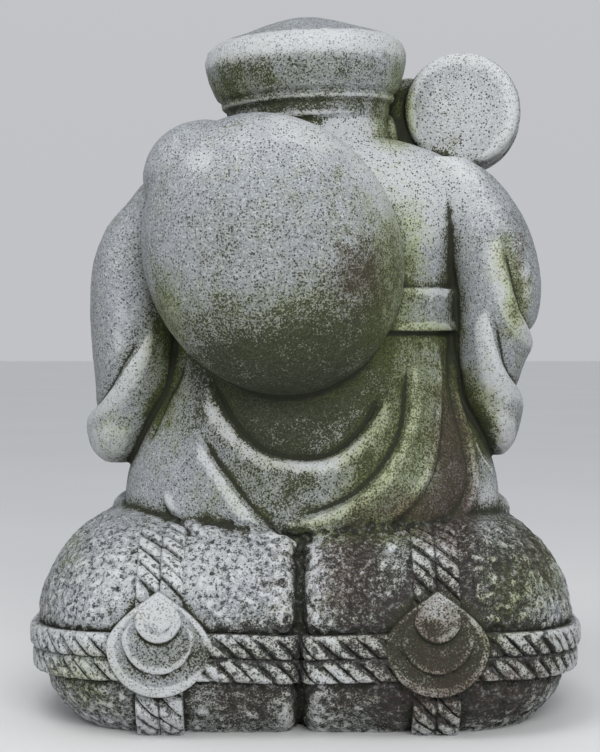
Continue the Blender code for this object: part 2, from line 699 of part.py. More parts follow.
def fold_line(view, points, surface):
    """The fold's points laid on the stone, with the stone's normal at each."""
    line, normals = [], []
    for point in smooth_line(points, 1.2):
        if view == "round":
            hit, normal, _, _ = surface.find_nearest(at(*point))
        else:
            outward = Vector((0, 1 if view == "back" else -1, 0))
            hit, normal, _, _ = surface.ray_cast(at(point[0], 0, point[1]) + outward, -outward)
        if hit is not None:
            line.append(hit)
            normals.append(normal)
    return np.array(line), np.array(normals)


def fold_height(side, ridge, groove, ridge_width, groove_width, groove_side):
    """How far the stone stands out at a distance to the side of a fold line, all in layout steps."""
    if not groove_side:
        return -groove * np.exp(-abs(side) / (0.5 * groove_width))
    side = side - FOLD_CREST / CARVING_STEP
    inner = -groove * np.exp(-np.maximum(side, 0) / (0.6 * groove_width))
    out = np.maximum(-side, 0)
    steepness = 1 - np.exp(-out * CARVING_STEP / FOLD_EDGE)
    rise = (ridge + groove) * steepness * np.exp(-((out / (1.35 * ridge_width)) ** 2))
    return np.where(side > 0, inner, rise - groove * np.exp(-((out / ridge_width) ** 2)))


def carve_folds(made, folds):
    """Raises a ridge on one side of each fold line and sinks a groove on the other, fading at both ends."""
    mesh = made.data
    bm = bmesh.new()
    bm.from_mesh(mesh)
    surface = BVHTree.FromBMesh(bm)
    bm.free()
    flat = np.empty(len(mesh.vertices) * 3)
    mesh.vertices.foreach_get("co", flat)
    points = flat.reshape(-1, 3)
    moved = np.zeros_like(points)
    for view, layout, ridge, groove, ridge_width, groove_width, groove_side in folds:
        line, normals = fold_line(view, layout, surface)
        for _ in range(12):
            line[1:-1] = (line[:-2] + line[1:-1] + line[2:]) / 3
            normals[1:-1] = unit(normals[:-2] + normals[1:-1] + normals[2:])
        along = unit(np.gradient(line, axis=0))
        across = unit(np.cross(normals, along)) * (groove_side or 1)
        reach = 2.2 * max(ridge_width, groove_width) * CARVING_STEP
        low, high = line.min(0) - reach, line.max(0) + reach
        near = np.flatnonzero(((points > low) & (points < high)).all(1))
        gaps = np.linalg.norm(points[near][:, None] - line[None], axis=2)
        nearest = gaps.argmin(1)
        inside = gaps[np.arange(len(near)), nearest] < reach
        near, nearest = near[inside], nearest[inside]
        offset = points[near] - line[nearest]
        side = (offset * across[nearest]).sum(1) / CARVING_STEP
        sunk = (offset * normals[nearest]).sum(1) / CARVING_STEP
        share = nearest / (len(line) - 1)
        fade = np.clip(np.minimum(share, 1 - share) / 0.16, 0, 1)
        fade = fade * fade * (3 - 2 * fade) * np.exp(-((sunk / (1.2 * ridge_width)) ** 2))
        height = fold_height(side, ridge, groove, ridge_width, groove_width, groove_side)
        moved[near] += normals[nearest] * (height * fade)[:, None] * CARVING_STEP
    mesh.vertices.foreach_set("co", (points + moved).ravel())
    mesh.update()


def join(made, pieces):
    """Makes one stone of this one and of pieces that sit in it."""
    for piece in pieces:
        union = made.modifiers.new(piece.name, "BOOLEAN")
        union.operation = "UNION"
        union.solver = "MANIFOLD"
        union.object = piece


def stand_flat(made):
    """Cuts the stone off level at the ground."""
    depth = 0.1
    reach = 4 * BALE_LENGTH
    bm = bmesh.new()
    bmesh.ops.create_cube(bm, size=1)
    bmesh.ops.scale(bm, vec=(reach, reach, depth), verts=bm.verts)
    ground = helper("ground", bm)
    ground.location.z = -depth / 2
    cut = made.modifiers.new("stand flat", "BOOLEAN")
    cut.operation = "DIFFERENCE"
    cut.solver = "MANIFOLD"
    cut.object = ground


def centre_on_footprint(made):
    bpy.context.view_layer.update()
    corners = [Vector(c) for c in made.evaluated_get(bpy.context.evaluated_depsgraph_get()).bound_box]
    for k in (0, 1):
        sides = [corner[k] for corner in corners]
        for moved in (made, *HELPERS.objects):
            moved.location[k] = -(min(sides) + max(sides)) / 2


clear_scene()
STATUE = new_collection("stone daikoku statue")
FORMS = new_collection("forms")
HELPERS = new_collection("helpers")

ropes_and_lids = make_bales()
make_robe()
make_belt()
make_legs()
make_sack()
make_head()
make_cap()
make_mallet()
make_hands()
bpy.context.view_layer.update()

statue = fuse("statue", list(FORMS.objects), STATUE)
carve_folds(statue, FOLDS)
statue.data.materials.append(granite())
soften = statue.modifiers.new("soften", "SMOOTH")
soften.factor = 0.5
soften.iterations = 2
thin = statue.modifiers.new("thin", "DECIMATE")
thin.ratio = TRIANGLES / (2 * len(statue.data.polygons))
join(statue, ropes_and_lids)
stand_flat(statue)
centre_on_footprint(statue)
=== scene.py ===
import json
import math

import bmesh
import bpy
import numpy as np
from mathutils import Euler, Matrix, Vector, noise
from mathutils.bvhtree import BVHTree

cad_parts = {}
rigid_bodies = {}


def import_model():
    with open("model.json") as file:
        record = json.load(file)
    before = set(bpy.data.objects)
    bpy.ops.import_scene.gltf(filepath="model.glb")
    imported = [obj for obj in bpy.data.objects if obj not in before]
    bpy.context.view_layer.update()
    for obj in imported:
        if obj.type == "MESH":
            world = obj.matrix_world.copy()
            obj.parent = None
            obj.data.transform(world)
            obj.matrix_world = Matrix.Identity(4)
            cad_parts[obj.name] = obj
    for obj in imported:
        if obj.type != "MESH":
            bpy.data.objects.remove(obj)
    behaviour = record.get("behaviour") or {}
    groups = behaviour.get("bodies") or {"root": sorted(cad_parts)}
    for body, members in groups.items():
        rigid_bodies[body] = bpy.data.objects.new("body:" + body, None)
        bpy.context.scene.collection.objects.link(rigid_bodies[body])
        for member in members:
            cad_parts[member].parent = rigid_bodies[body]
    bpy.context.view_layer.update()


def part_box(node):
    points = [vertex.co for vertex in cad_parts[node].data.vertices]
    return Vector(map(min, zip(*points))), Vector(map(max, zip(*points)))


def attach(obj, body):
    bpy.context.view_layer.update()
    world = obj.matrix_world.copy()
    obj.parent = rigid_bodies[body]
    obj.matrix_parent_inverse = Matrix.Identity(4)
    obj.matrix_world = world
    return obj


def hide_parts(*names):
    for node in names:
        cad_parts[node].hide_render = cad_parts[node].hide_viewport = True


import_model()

# The stone is laid out in steps, 452.4 of them to its height, which makes a step about a millimetre.
# The figure faces -Y, so its back is at +Y. Heights of the figure start at its seat, on top of the bales.
stone = {
    "stepsHigh": 452.4,
    "seat": 140,
    "voxel": 1.1,
    "triangles": 150000,  # before ropes and lids are joined to it and the part under the ground is cut away
    "lidVoxel": 0.8,
    "lidTriangles": 18000,
    "sharp": 70,
}
stoneLow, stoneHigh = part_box("statue")
step = (stoneHigh.z - stoneLow.z) / stone["stepsHigh"]


def ground(x, y, z):  # a point with z from the ground up
    return Vector((x, y, z)) * step


def at(x, y, z):  # a point of the figure, with z from the seat up
    return ground(x, y, z + stone["seat"])


def newCollection(name):
    made = bpy.data.collections.new(name)
    bpy.context.scene.collection.children.link(made)
    return made


forms = newCollection("forms")
plates = newCollection("plates")
guides = newCollection("guides")


def smoothLine(points, spacing):  # a curve through the points, which carries every coordinate along
    knots = np.array([tuple(p) for p in points], float)
    padded = np.vstack([2 * knots[0] - knots[1], knots, 2 * knots[-1] - knots[-2]])
    line = []
    for i in range(len(knots) - 1):
        a, b, c, d = padded[i : i + 4]
        count = max(1, round(float(np.linalg.norm((c - b)[:3])) / spacing))
        for t in np.arange(count) / count:
            square = (2 * a - 5 * b + 4 * c - d) * t * t
            line.append(0.5 * (2 * b + (c - a) * t + square + (3 * b - a - 3 * c + d) * t**3))
    line.append(knots[-1])
    return np.array(line)


def unit(rows):
    return rows / np.maximum(np.linalg.norm(rows, axis=1, keepdims=True), 1e-9)


def ramp(values, low, high):  # 0 at low, 1 at high, smooth between
    share = np.clip((values - low) / (high - low), 0, 1)
    return share * share * (3 - 2 * share)


def finishedMesh(name, bm):
    mesh = bpy.data.meshes.new(name)
    bm.to_mesh(mesh)
    bm.free()
    return mesh


def newObject(name, data, home):
    made = bpy.data.objects.new(name, data)
    home.objects.link(made)
    return made


def keepForm(name, bm, home=forms):
    bmesh.ops.recalc_face_normals(bm, faces=bm.faces)
    return newObject(name, finishedMesh(name, bm), home)


def ball(name, centre, radii, turn=(0, 0, 0)):
    bm = bmesh.new()
    bmesh.ops.create_uvsphere(bm, u_segments=56, v_segments=40, radius=step)
    place = Matrix.LocRotScale(at(*centre), Euler([math.radians(a) for a in turn]), Vector(radii))
    bmesh.ops.transform(bm, matrix=place, verts=bm.verts)
    return keepForm(name, bm)


def limb(name, points, radii, flat=1.0):  # a round-ended tube; flat squeezes it front to back
    line = smoothLine([(*p, r) for p, r in zip(points, radii)], 3)
    curve = bpy.data.curves.new(name, "CURVE")
    curve.dimensions = "3D"
    curve.bevel_depth = step
    curve.bevel_resolution = 8
    curve.use_fill_caps = True
    spline = curve.splines.new("POLY")
    spline.points.add(len(line) - 1)
    for knot, (x, y, z, radius) in zip(spline.points, line):
        knot.co = (*at(x, y, z), 1)
        knot.radius = radius
    made = newObject(name, curve, forms)
    ends = [ball(f"{name} end {i}", line[i][:3], [line[i][3] * 0.98] * 3) for i in (0, -1)]
    if flat != 1.0:
        middle = at(*line[len(line) // 2][:3])
        squeeze = Matrix.Translation(middle) @ Matrix.Scale(flat, 4, (0, 1, 0)) @ Matrix.Translation(-middle)
        for form in [made, *ends]:
            form.matrix_world = squeeze @ form.matrix_world
    return made


def turned(name, profile, place):  # turned about its own Z; the profile is (radius, height) from the top down
    bm = bmesh.new()
    corners = [bm.verts.new((radius * step, 0, height * step)) for radius, height in profile]
    for a, b in zip(corners, corners[1:]):
        bm.edges.new((a, b))
    made = newObject(name, finishedMesh(name, bm), forms)
    screw = made.modifiers.new("turn", "SCREW")
    screw.steps = screw.render_steps = 96
    screw.use_merge_vertices = True
    screw.merge_threshold = 0.00005
    made.matrix_world = place
    return made


def loft(name, rings, closed=False, home=forms):  # a closed one runs on from the last ring to the first
    bm = bmesh.new()
    rows = [[bm.verts.new(point) for point in ring] for ring in rings]
    for low, high in zip(rows, rows[1:] + rows[:1] if closed else rows[1:]):
        for i in range(len(low)):
            j = (i + 1) % len(low)
            bm.faces.new((low[i], low[j], high[j], high[i]))
    if not closed:
        bm.faces.new(rows[0])
        bm.faces.new(rows[-1])
    return keepForm(name, bm, home)


def squared(angle, power):  # a point of a unit circle that is squared up by power above 2
    c, s = math.cos(angle), math.sin(angle)
    reach = (abs(c) ** power + abs(s) ** power) ** (-1 / power)
    return c * reach, s * reach


def levelRing(z, x, y, halfWidth, back, front, power=2.3, proud=0.0, sides=120):
    ring = []
    for i in range(sides):
        c, s = squared(2 * math.pi * i / sides, power)
        depth = back if s > 0 else front
        outward = Vector((c, s, 0)).normalized() * proud * step
        ring.append(at(x + c * halfWidth, y + s * depth, z) + outward)
    return ring


robe = {
    # height, middle x, half width, depth to the back, to the front
    "body": (
        (-40, -8, 112, 78, 66), (-16, -8, 122, 88, 76), (8, -8, 122, 86, 80), (34, -8, 114, 79, 80),
        (66, -7, 101, 71, 82), (100, -6, 95, 66, 86), (135, -5, 99, 66, 84), (165, -5, 106, 65, 72),
        (190, -6, 111, 61, 58), (206, -7, 105, 54, 48), (217, -7, 93, 48, 42), (225, -7, 76, 42, 38),
        (231, -7, 54, 35, 32), (234, -7, 26, 20, 20),
    ),
    "neck": ((220, -8, 56, 46, 42), (234, -8, 51, 45, 40), (246, -8, 49, 44, 40), (256, -8, 49, 44, 40)),
    # height, middle x, y, half width, half depth
    "rightSleeve": (
        (218, -92, 2, 18, 30), (208, -100, 1, 26, 38), (192, -109, 0, 31, 45), (170, -119, -2, 33, 52),
        (142, -126, -4, 33, 57), (115, -127, -8, 31, 60), (90, -123, -10, 27, 58),
        (64, -123, -12, 23, 54), (44, -128, -12, 18, 47), (30, -130, -12, 12, 36), (23, -131, -12, 5, 20),
    ),
    "leftSleeve": (
        (214, 66, 4, 18, 30), (203, 76, 4, 26, 36), (190, 85, 2, 28, 42), (172, 97, 0, 31, 48),
        (148, 104, -3, 33, 55), (120, 106, -6, 33, 60), (94, 106, -8, 32, 59), (70, 106, -10, 30, 55),
        (50, 113, -12, 25, 49), (37, 118, -12, 23, 45), (25, 120, -12, 18, 36), (18, 120, -12, 10, 22),
    ),
}


def makeRobe():
    rows = smoothLine(robe["body"], 4)
    loft("robe", [levelRing(z, x, 0, w, b, f) for z, x, w, b, f in rows])
    loft("neck", [levelRing(z, x, 0, w, b, f, 2.0) for z, x, w, b, f in robe["neck"]])
    for sleeve in ("rightSleeve", "leftSleeve"):
        rows = smoothLine(robe[sleeve], 4)
        loft(sleeve, [levelRing(z, x, y, w, d, d, 2.2) for z, x, y, w, d in rows])


belt = {"top": 132, "width": 27, "proud": 4.2}


def makeBelt():
    rows = np.array(robe["body"], float)
    rings = []
    for i in range(9):
        z = belt["top"] - belt["width"] * i / 8
        x, w, b, f = [float(np.interp(z, rows[:, 0], rows[:, k])) for k in range(1, 5)]
        rings.append(levelRing(z, x, 0, w, b, f, proud=belt["proud"]))
    loft("belt", rings)
    ball("belt knot", (-6, -90, 119), (15, 9, 12))
    limb("belt end right", [(-11, -90, 112), (-17, -92, 88), (-21, -91, 62)], (7, 8, 9), flat=0.6)
    limb("belt end left", [(-1, -90, 112), (6, -92, 90), (10, -91, 66)], (7, 8, 9), flat=0.6)


legs = {"right": (-64, -1), "left": (50, 1)}  # middle x, and which way is outward


def makeLegs():
    for name, (x, side) in legs.items():
        ball(f"{name} trouser", (x, -50, 24), (48, 44, 50))
        ball(f"{name} hem", (x + 21 * side, -20, -14), (56, 52, 20))
        ball(f"{name} cuff", (x, -74, -8), (34, 30, 20))
        limb(f"{name} boot", [(x, -78, -8), (x, -100, -10), (x, -114, -14)], (19, 20, 15))


sack = {"middle": (17, 76, 153), "radii": (80, 64, 90), "turn": 27}


def makeSack():
    ball("sack", sack["middle"], sack["radii"], turn=(0, sack["turn"], 0))
    ball("sack shoulder", (59, 60, 201), (40, 50, 37))
    overShoulder = [(64, 40, 200), (72, 14, 209), (78, -20, 210), (77, -46, 200), (74, -64, 184)]
    limb("sack neck", overShoulder, (30, 22, 20, 16, 12))
    limb("sack mouth", [(74, -66, 184), (71, -74, 168), (68, -78, 152)], (10, 14, 18), flat=0.7)


face = {"middle": -7, "eyeApart": 19, "eyeLevel": 232, "noseTip": 221}


def makeHead():
    m = face["middle"]
    ball("head", (m, -14, 232), (50, 54, 44))
    ball("chin", (m, -50, 203), (25, 18, 17))
    for side in (-1, 1):
        ball(f"cheek {side}", (m + 24 * side, -42, 217), (26, 24, 23))
        ball(f"ear {side}", (m + 52 * side, -16, 228), (7, 13, 22))
        ball(f"ear lobe {side}", (m + 53 * side, -18, 205), (8, 9, 13))
        arch = [(m + side * k, y, z) for k, y, z in ((5, -66, 240), (20, -63, 246), (36, -50, 239))]
        limb(f"brow {side}", arch, (3, 4, 3))
        ball(f"eyelid {side}", (m + face["eyeApart"] * side, -60, face["eyeLevel"]), (12, 6, 6))
        ball(f"nostril {side}", (m + 8 * side, -68, face["noseTip"]), (6, 6, 5))
        whisker = [(m + side * k, y, z) for k, y, z in ((3, -70, 215), (12, -68, 211), (21, -61, 203))]
        limb(f"moustache {side}", whisker, (3, 3.4, 2))
    limb("nose", [(m, -64, 240), (m, -69, 231), (m, -74, 223)], (4, 5, 7))
    upper = ((-15, -60, 209), (-6, -66, 208), (0, -67, 207.5), (6, -66, 208), (15, -60, 209))
    limb("upper lip", [(m + k, y, z) for k, y, z in upper], (2, 3, 3, 3, 2))
    limb("lower lip", [(m - 11, -62, 205), (m, -66, 201), (m + 11, -62, 205)], (2, 4, 2))
    limb("beard", [(m, -62, 196), (m, -70, 182), (m, -76, 164)], (13, 11, 4))


cap = {"radius": 67, "crown": 53, "roll": 3.3, "band": 54, "middle": (-5, -5, 259.5), "lean": 3}


def makeCap():
    place = Matrix.Translation(at(*cap["middle"])) @ Matrix.Rotation(math.radians(cap["lean"]), 4, "Y")
    r, c, b, roll = cap["radius"], cap["crown"], cap["band"], cap["roll"]
    puffed = (
        (0, 1), (0.2, 0.985), (0.43, 0.90), (0.6, 0.82), (0.78, 0.75), (0.90, 0.69), (0.97, 0.61), (1, 0.49),
        (0.995, 0.38), (0.97, 0.25), (0.925, 0.10), (0.90, 0.03), (0.87, 0), (0.7, 0.01), (0, 0.01),
    )
    turned("cap crown", [(share * r, rise * c) for share, rise in puffed], place)
    rolled = [(0, 0)]
    rolled += [
        (b + 0.1 * roll + roll * math.sin(a), roll * (math.cos(a) - 1)) for a in np.linspace(0, math.pi, 13)
    ]
    turned("cap roll", rolled + [(0, -2 * roll)], place)
    low = -0.33 * c
    band = [(0, 0), (0.985 * b, 0), (b, 0.5 * low), (0.985 * b, 0.9 * low), (0.96 * b, low), (0, low)]
    turned("cap band", band, place)


mallet = {"radius": 37.8, "length": 88, "handle": 8.5, "nearFace": (-108, -8, 253), "grip": (-110, -66, 178)}


def makeMallet():
    along = Vector((-0.10, -0.994, 0.02)).normalized()
    r, half = mallet["radius"], mallet["length"] / 2
    middle = at(*mallet["nearFace"]) + along * half * step
    place = Matrix.Translation(middle) @ along.to_track_quat("Z", "Y").to_matrix().to_4x4()
    edge = 0.07 * r
    barrel = [(0, half), (r - edge, half), (r, half - edge)]
    barrel += [(r * (1 + 0.03 * math.cos(a)), half * 0.88 * math.sin(a)) for a in np.linspace(1.3, -1.3, 9)]
    barrel += [(r, edge - half), (r - edge, -half), (0, -half)]
    turned("mallet barrel", barrel, place)
    wide, proud = 0.12 * half, 0.045 * r
    for side in (-1, 1):
        level = side * 0.55 * half
        hoop = [(0, level + wide), (r, level + wide), (r + proud, level + 0.6 * wide)]
        hoop += [(r + proud, level - 0.6 * wide), (r, level - wide), (0, level - wide)]
        turned(f"mallet hoop {side}", hoop, place)
    grip = at(*mallet["grip"])
    ends = [(p - at(0, 0, 0)) / step for p in (middle, grip, grip + (grip - middle) * 0.38)]
    limb("mallet handle", [tuple(p) for p in ends], [mallet["handle"] * k for k in (1, 1, 1.15)])
    ball("web beside the head", (-74, -42, 232), (26, 24, 46))


def makeHands():
    limb("right forearm", [(-124, -44, 84), (-121, -60, 118), (-113, -65, 158)], (26, 23, 17))
    limb("left forearm", [(104, -46, 84), (96, -62, 122), (80, -67, 160)], (26, 23, 17))
    for name, x, y, z, side in (("right", -110, -67, 178, 1), ("left", 75, -68, 182, -1)):
        ball(f"{name} fist", (x, y + 4, z), (16, 14, 16))
        for k in range(4):
            level = z + 10.5 - 7 * k
            bent = [(x + across * side, y + out, level) for across, out in ((12, 2), (6, -12), (-8, -12))]
            limb(f"{name} finger {k}", bent, (4, 4, 4))
        thumb = [(x - 12 * side, y, z - 4), (x - 10 * side, y - 11, z + 5), (x, y - 15, z + 13)]
        limb(f"{name} thumb", thumb, (5, 5, 4))


bale = {
    "rightWidth": 179, "leftWidth": 172, "length": 254, "height": 135,
    "middle": 55,  # the height at which it is widest
    "worn": 19,  # how much of the round belly is cut away below
    "press": 2,  # how far each bale is pressed into the other
    "webHalf": 10.32,  # half the width of the stone left between them
    "webShare": 0.88,  # how much of a bale's length and height it has
    "lobeEdge": 17,  # how wide the straw bulges beside the ropes
    "outerPower": 2.15, "innerPower": 28.0, "sectionPower": 1.2, "lengthPower": 2.6,
    "detail": 8, "webDetail": 6,
}
rope = {
    "width": 14.4, "overlap": 0.2,
    "lobe": 12,  # from one groove between the strands to the next
    "groove": 2.6,
    "grooveShare": 0.17,  # half the width of a groove, as a share of a lobe
    "bulge": 1.3,
    "uneven": 0.12,  # how far a groove is off its even place, as a share of a lobe
    "levelRunOut": (0.78, 0.5),  # where across a rope its grooves end, and how softly
    "uprightRunOut": (1.05, 0.3),
    "line": 2.8,  # how deep the line beside a rope is
    "buried": 5,
    "bedding": 5.0,  # how deep the straw is drawn in under the level ropes, and under the upright ones
    "uprightBedding": 2.6, "level": 50.5, "sag": 7,
    "sideProud": 4.6,  # how far the ropes stand out of the round of the straw
    "endProud": 2.4, "uprightProud": 0.4, "tailProud": 5.2, "tailTop": 30,
    "worn": (112, 126),  # the heights between which the upright ropes are worn away
    "courseSteps": 480,
}
lid = {
    "radius": 31.2, "level": 57.8, "thickness": 16,
    "proud": 3,  # how far the lowest jewel stands out of the end of the bale
    "tip": 2.4,  # how many degrees more each jewel is tipped outward
    "rounding": 0.9,
    "line": 2.0,  # how deep the lines under the jewels are, how wide, and how far below them
    "lineWidth": 3, "lineDrop": 0.6,
    "right": -82, "left": 84.4,
}


def baleReach(ways, halfWidth, inner):  # round over its outer side, squarer beside the other bale
    above, below = bale["height"] - bale["middle"], bale["middle"] + bale["worn"]
    across, along = abs(ways[:, 0]) / halfWidth, abs(ways[:, 1]) / (bale["length"] / 2)
    up = abs(ways[:, 2]) / np.where(ways[:, 2] > 0, above, below)
    power = np.where(ways[:, 0] * inner > 0, bale["innerPower"], bale["outerPower"])
    near, far = np.zeros(len(ways)), np.full(len(ways), 500.0)
    for _ in range(26):
        reach = (near + far) / 2
        section = (across * reach) ** power + (up * reach) ** bale["outerPower"]
        inside = section ** bale["sectionPower"] + (along * reach) ** bale["lengthPower"] < 1
        near, far = np.where(inside, reach, near), np.where(inside, far, reach)
    return near


def ropeLevel(y):  # the level ropes sag between the two ends of a bale
    return rope["level"] - rope["sag"] * np.clip(1 - (2 * y / bale["length"]) ** 2, 0, 1)


def drawnIn(gap):  # 1 under a pair of ropes, and a round lobe of straw beside them
    out = np.clip((abs(gap) - rope["width"] + 1) / bale["lobeEdge"], 0, 1)
    return 1 - np.sqrt(1 - (1 - out) ** 2)


def roundForm(name, detail, place):  # a ball whose points are put in place by a function of their ways
    bm = bmesh.new()
    bmesh.ops.create_icosphere(bm, subdivisions=detail, radius=1)
    ways = unit(np.array([vert.co for vert in bm.verts]))
    for vert, point in zip(bm.verts, place(ways)):
        vert.co = ground(*point)
    return keepForm(name, bm)


def makeBale(name, x, width, inner, lidPlace):
    def place(ways):
        reach = baleReach(ways, width / 2, inner)
        side = x + ways[:, 0] * reach - lidPlace
        level = ways[:, 2] * reach + bale["middle"] - ropeLevel(ways[:, 1] * reach)
        sunk = np.maximum(drawnIn(level) * rope["bedding"], drawnIn(side) * rope["uprightBedding"])
        return ways * (reach - sunk)[:, None] + (x, 0, bale["middle"])

    made = roundForm(name, bale["detail"], place)
    for end in (-1, 1):
        makeLid(f"{name} lid {end}", lidPlace, end)
    return made


def makeWeb():  # the stone left standing in the valley between the two bales
    def place(ways):
        reach = baleReach(ways, bale["webHalf"], ways[:, 0])
        return ways * (reach * bale["webShare"])[:, None] + (0, 0, bale["middle"])

    roundForm("web", bale["webDetail"], place)


def teardrop(radius, count=40):  # half a circle, and two sides that meet in a point above it
    arc = [math.pi + math.pi * i / count for i in range(count + 1)]
    outline = [(radius * math.cos(a), radius * math.sin(a)) for a in arc]
    foot, corner, apex = Vector((1, 0)), Vector((0.96, 0.42)), Vector((0, 1.02))
    for side, start, end in ((1, foot, apex), (-1, apex, foot)):
        for i in range(1, 13):
            t = i / 13
            x, y = start * (1 - t) ** 2 + corner * (2 * t * (1 - t)) + end * t**2
            outline.append((side * x * radius, y * radius))
        if side > 0:
            outline.append((0, apex.y * radius))
    return outline


def plate(name, outline, thickness, place, rounding):
    curve = bpy.data.curves.new(name, "CURVE")
    curve.dimensions = "2D"
    curve.fill_mode = "BOTH"
    curve.extrude = (thickness / 2 - rounding) * step
    curve.bevel_depth = rounding * step
    curve.bevel_resolution = 3
    curve.offset = -rounding * step
    spline = curve.splines.new("POLY")
    spline.points.add(len(outline) - 1)
    for knot, (x, y) in zip(spline.points, outline):
        knot.co = (x * step, y * step, 0, 1)
    spline.use_cyclic_u = True
    newObject(name, curve, plates).matrix_world = place


# The three jewels of a lid, each laid over the top of the one below: share of the radius, rise, how far out
jewels = ((1.0, 0.0, 0.0), (0.70, 0.13, 1.7), (0.45, 0.48, 3.4))


def makeLid(name, x, end):
    face = bale["length"] / 2 + lid["proud"]
    upright = Matrix.Rotation(math.radians(90), 4, "X")
    facing = Matrix.Rotation(math.radians(180 if end > 0 else 0), 4, "Z") @ upright
    for k, (share, rise, out) in enumerate(jewels):
        y = end * (face + out - lid["thickness"] / 2)
        middle = ground(x, y, lid["level"] + lid["radius"] * rise)
        tip = Matrix.Rotation(math.radians(lid["tip"] * k) * end, 4, "X")
        place = Matrix.Translation(middle) @ tip @ facing
        plate(f"{name} jewel {k}", teardrop(lid["radius"] * share), lid["thickness"], place, lid["rounding"])


def ropeCourse(around, middle, level, offset):  # points under the rope, ways outward, how far out its face is
    surface = BVHTree.FromObject(around, bpy.context.evaluated_depsgraph_get())
    rows = []
    for angle in np.linspace(0, 2 * math.pi, rope["courseSteps"], endpoint=False):
        if level:
            outward = Vector((math.cos(angle), math.sin(angle), 0))
            start = ground(middle, 0, ropeLevel(bale["length"] / 2 * abs(outward.y)) + offset)
            proud = rope["endProud"] + (rope["sideProud"] - rope["endProud"]) * outward.x**2 + rope["bedding"]
        else:
            outward = Vector((0, math.cos(angle), math.sin(angle)))
            start = ground(middle + offset, 0, bale["middle"])
            proud = rope["uprightProud"] + rope["uprightBedding"]
        hit = surface.ray_cast(start + outward, -outward)[0]
        if not level:
            height = hit.z / step
            proud *= 1 - float(ramp(height, *rope["worn"]))
            proud += rope["tailProud"] * (1 - float(ramp(height, rope["tailTop"] - 12, rope["tailTop"])))
        rows.append((*hit, *outward, proud * step))
    return np.array(rows)


def makeRope(name, around, middle, level, offset):  # a flat band whose strands are parted by slanting grooves
    course = ropeCourse(around, middle, level, offset)
    course = np.vstack([course, course[:1]])
    gone = np.concatenate([[0], np.cumsum(np.linalg.norm(np.diff(course[:, :3], axis=0), axis=1))])
    lobes = round(gone[-1] / (rope["lobe"] * step))
    half, cut = rope["width"] / 2, rope["grooveShare"]
    shares = (0, 0.5 * cut, cut, 0.42, 0.7, 1 - cut)  # where the points of a lobe are, along it and across
    across = np.array((1, 0.93, 0.8, 0.6, 0.3, 0, -0.3, -0.6, -0.8, -0.93, -1))
    uneven = [rope["uneven"] * math.sin(2.4 * k + len(name)) for k in range(lobes)]
    place = np.array([k + uneven[k] + share for k in range(lobes) for share in shares]) / lobes * gone[-1]
    place = place[:, None] - (1 if level else -1) * across[None] * half * step
    rows = np.stack([np.interp(place % gone[-1], gone, values) for values in course.T], 2)
    share = np.tile(shares, lobes)
    vee = np.clip(1 - np.minimum(share, 1 - share) / cut, 0, 1)
    # the grooves run out towards the upper edge of a level rope, and towards both edges of an upright one
    edge, soft = rope["levelRunOut"] if level else rope["uprightRunOut"]
    parted = np.clip((edge - (across if level else abs(across))) / soft, 0, 1)
    height = rope["bulge"] * np.sin(math.pi * share)[:, None] - rope["groove"] * vee[:, None] * parted[None]
    height = height - rope["line"] * (1 - np.sqrt(1 - across**4))[None]
    sideways = np.array((0, 0, 1) if level else (1, 0, 0))
    laid = rows[:, :, :3] + sideways * across[None, :, None] * half * step
    face = laid + rows[:, :, 3:6] * (rows[:, :, 6] + height * step)[:, :, None]
    back = (laid - rows[:, :, 3:6] * rope["buried"] * step)[:, (-1, 0)]
    return loft(name, np.concatenate([face, back], 1), closed=True, home=guides)


def makeBales():  # gives back the ropes, which are joined to the stone later
    makeWeb()
    ropes = []
    for name, side in (("right", -1), ("left", 1)):
        width, tied = bale[f"{name}Width"], lid[name]
        body = makeBale(f"{name} bale", side * (width / 2 - bale["press"]), width, -side, tied)
        bpy.context.view_layer.update()
        for k in (-1, 1):
            beside = k * (rope["width"] - rope["overlap"]) / 2
            ropes.append(makeRope(f"{name} level rope {k}", body, side * (width / 2), True, beside))
            ropes.append(makeRope(f"{name} upright rope {k}", body, tied, False, beside))
    return ropes


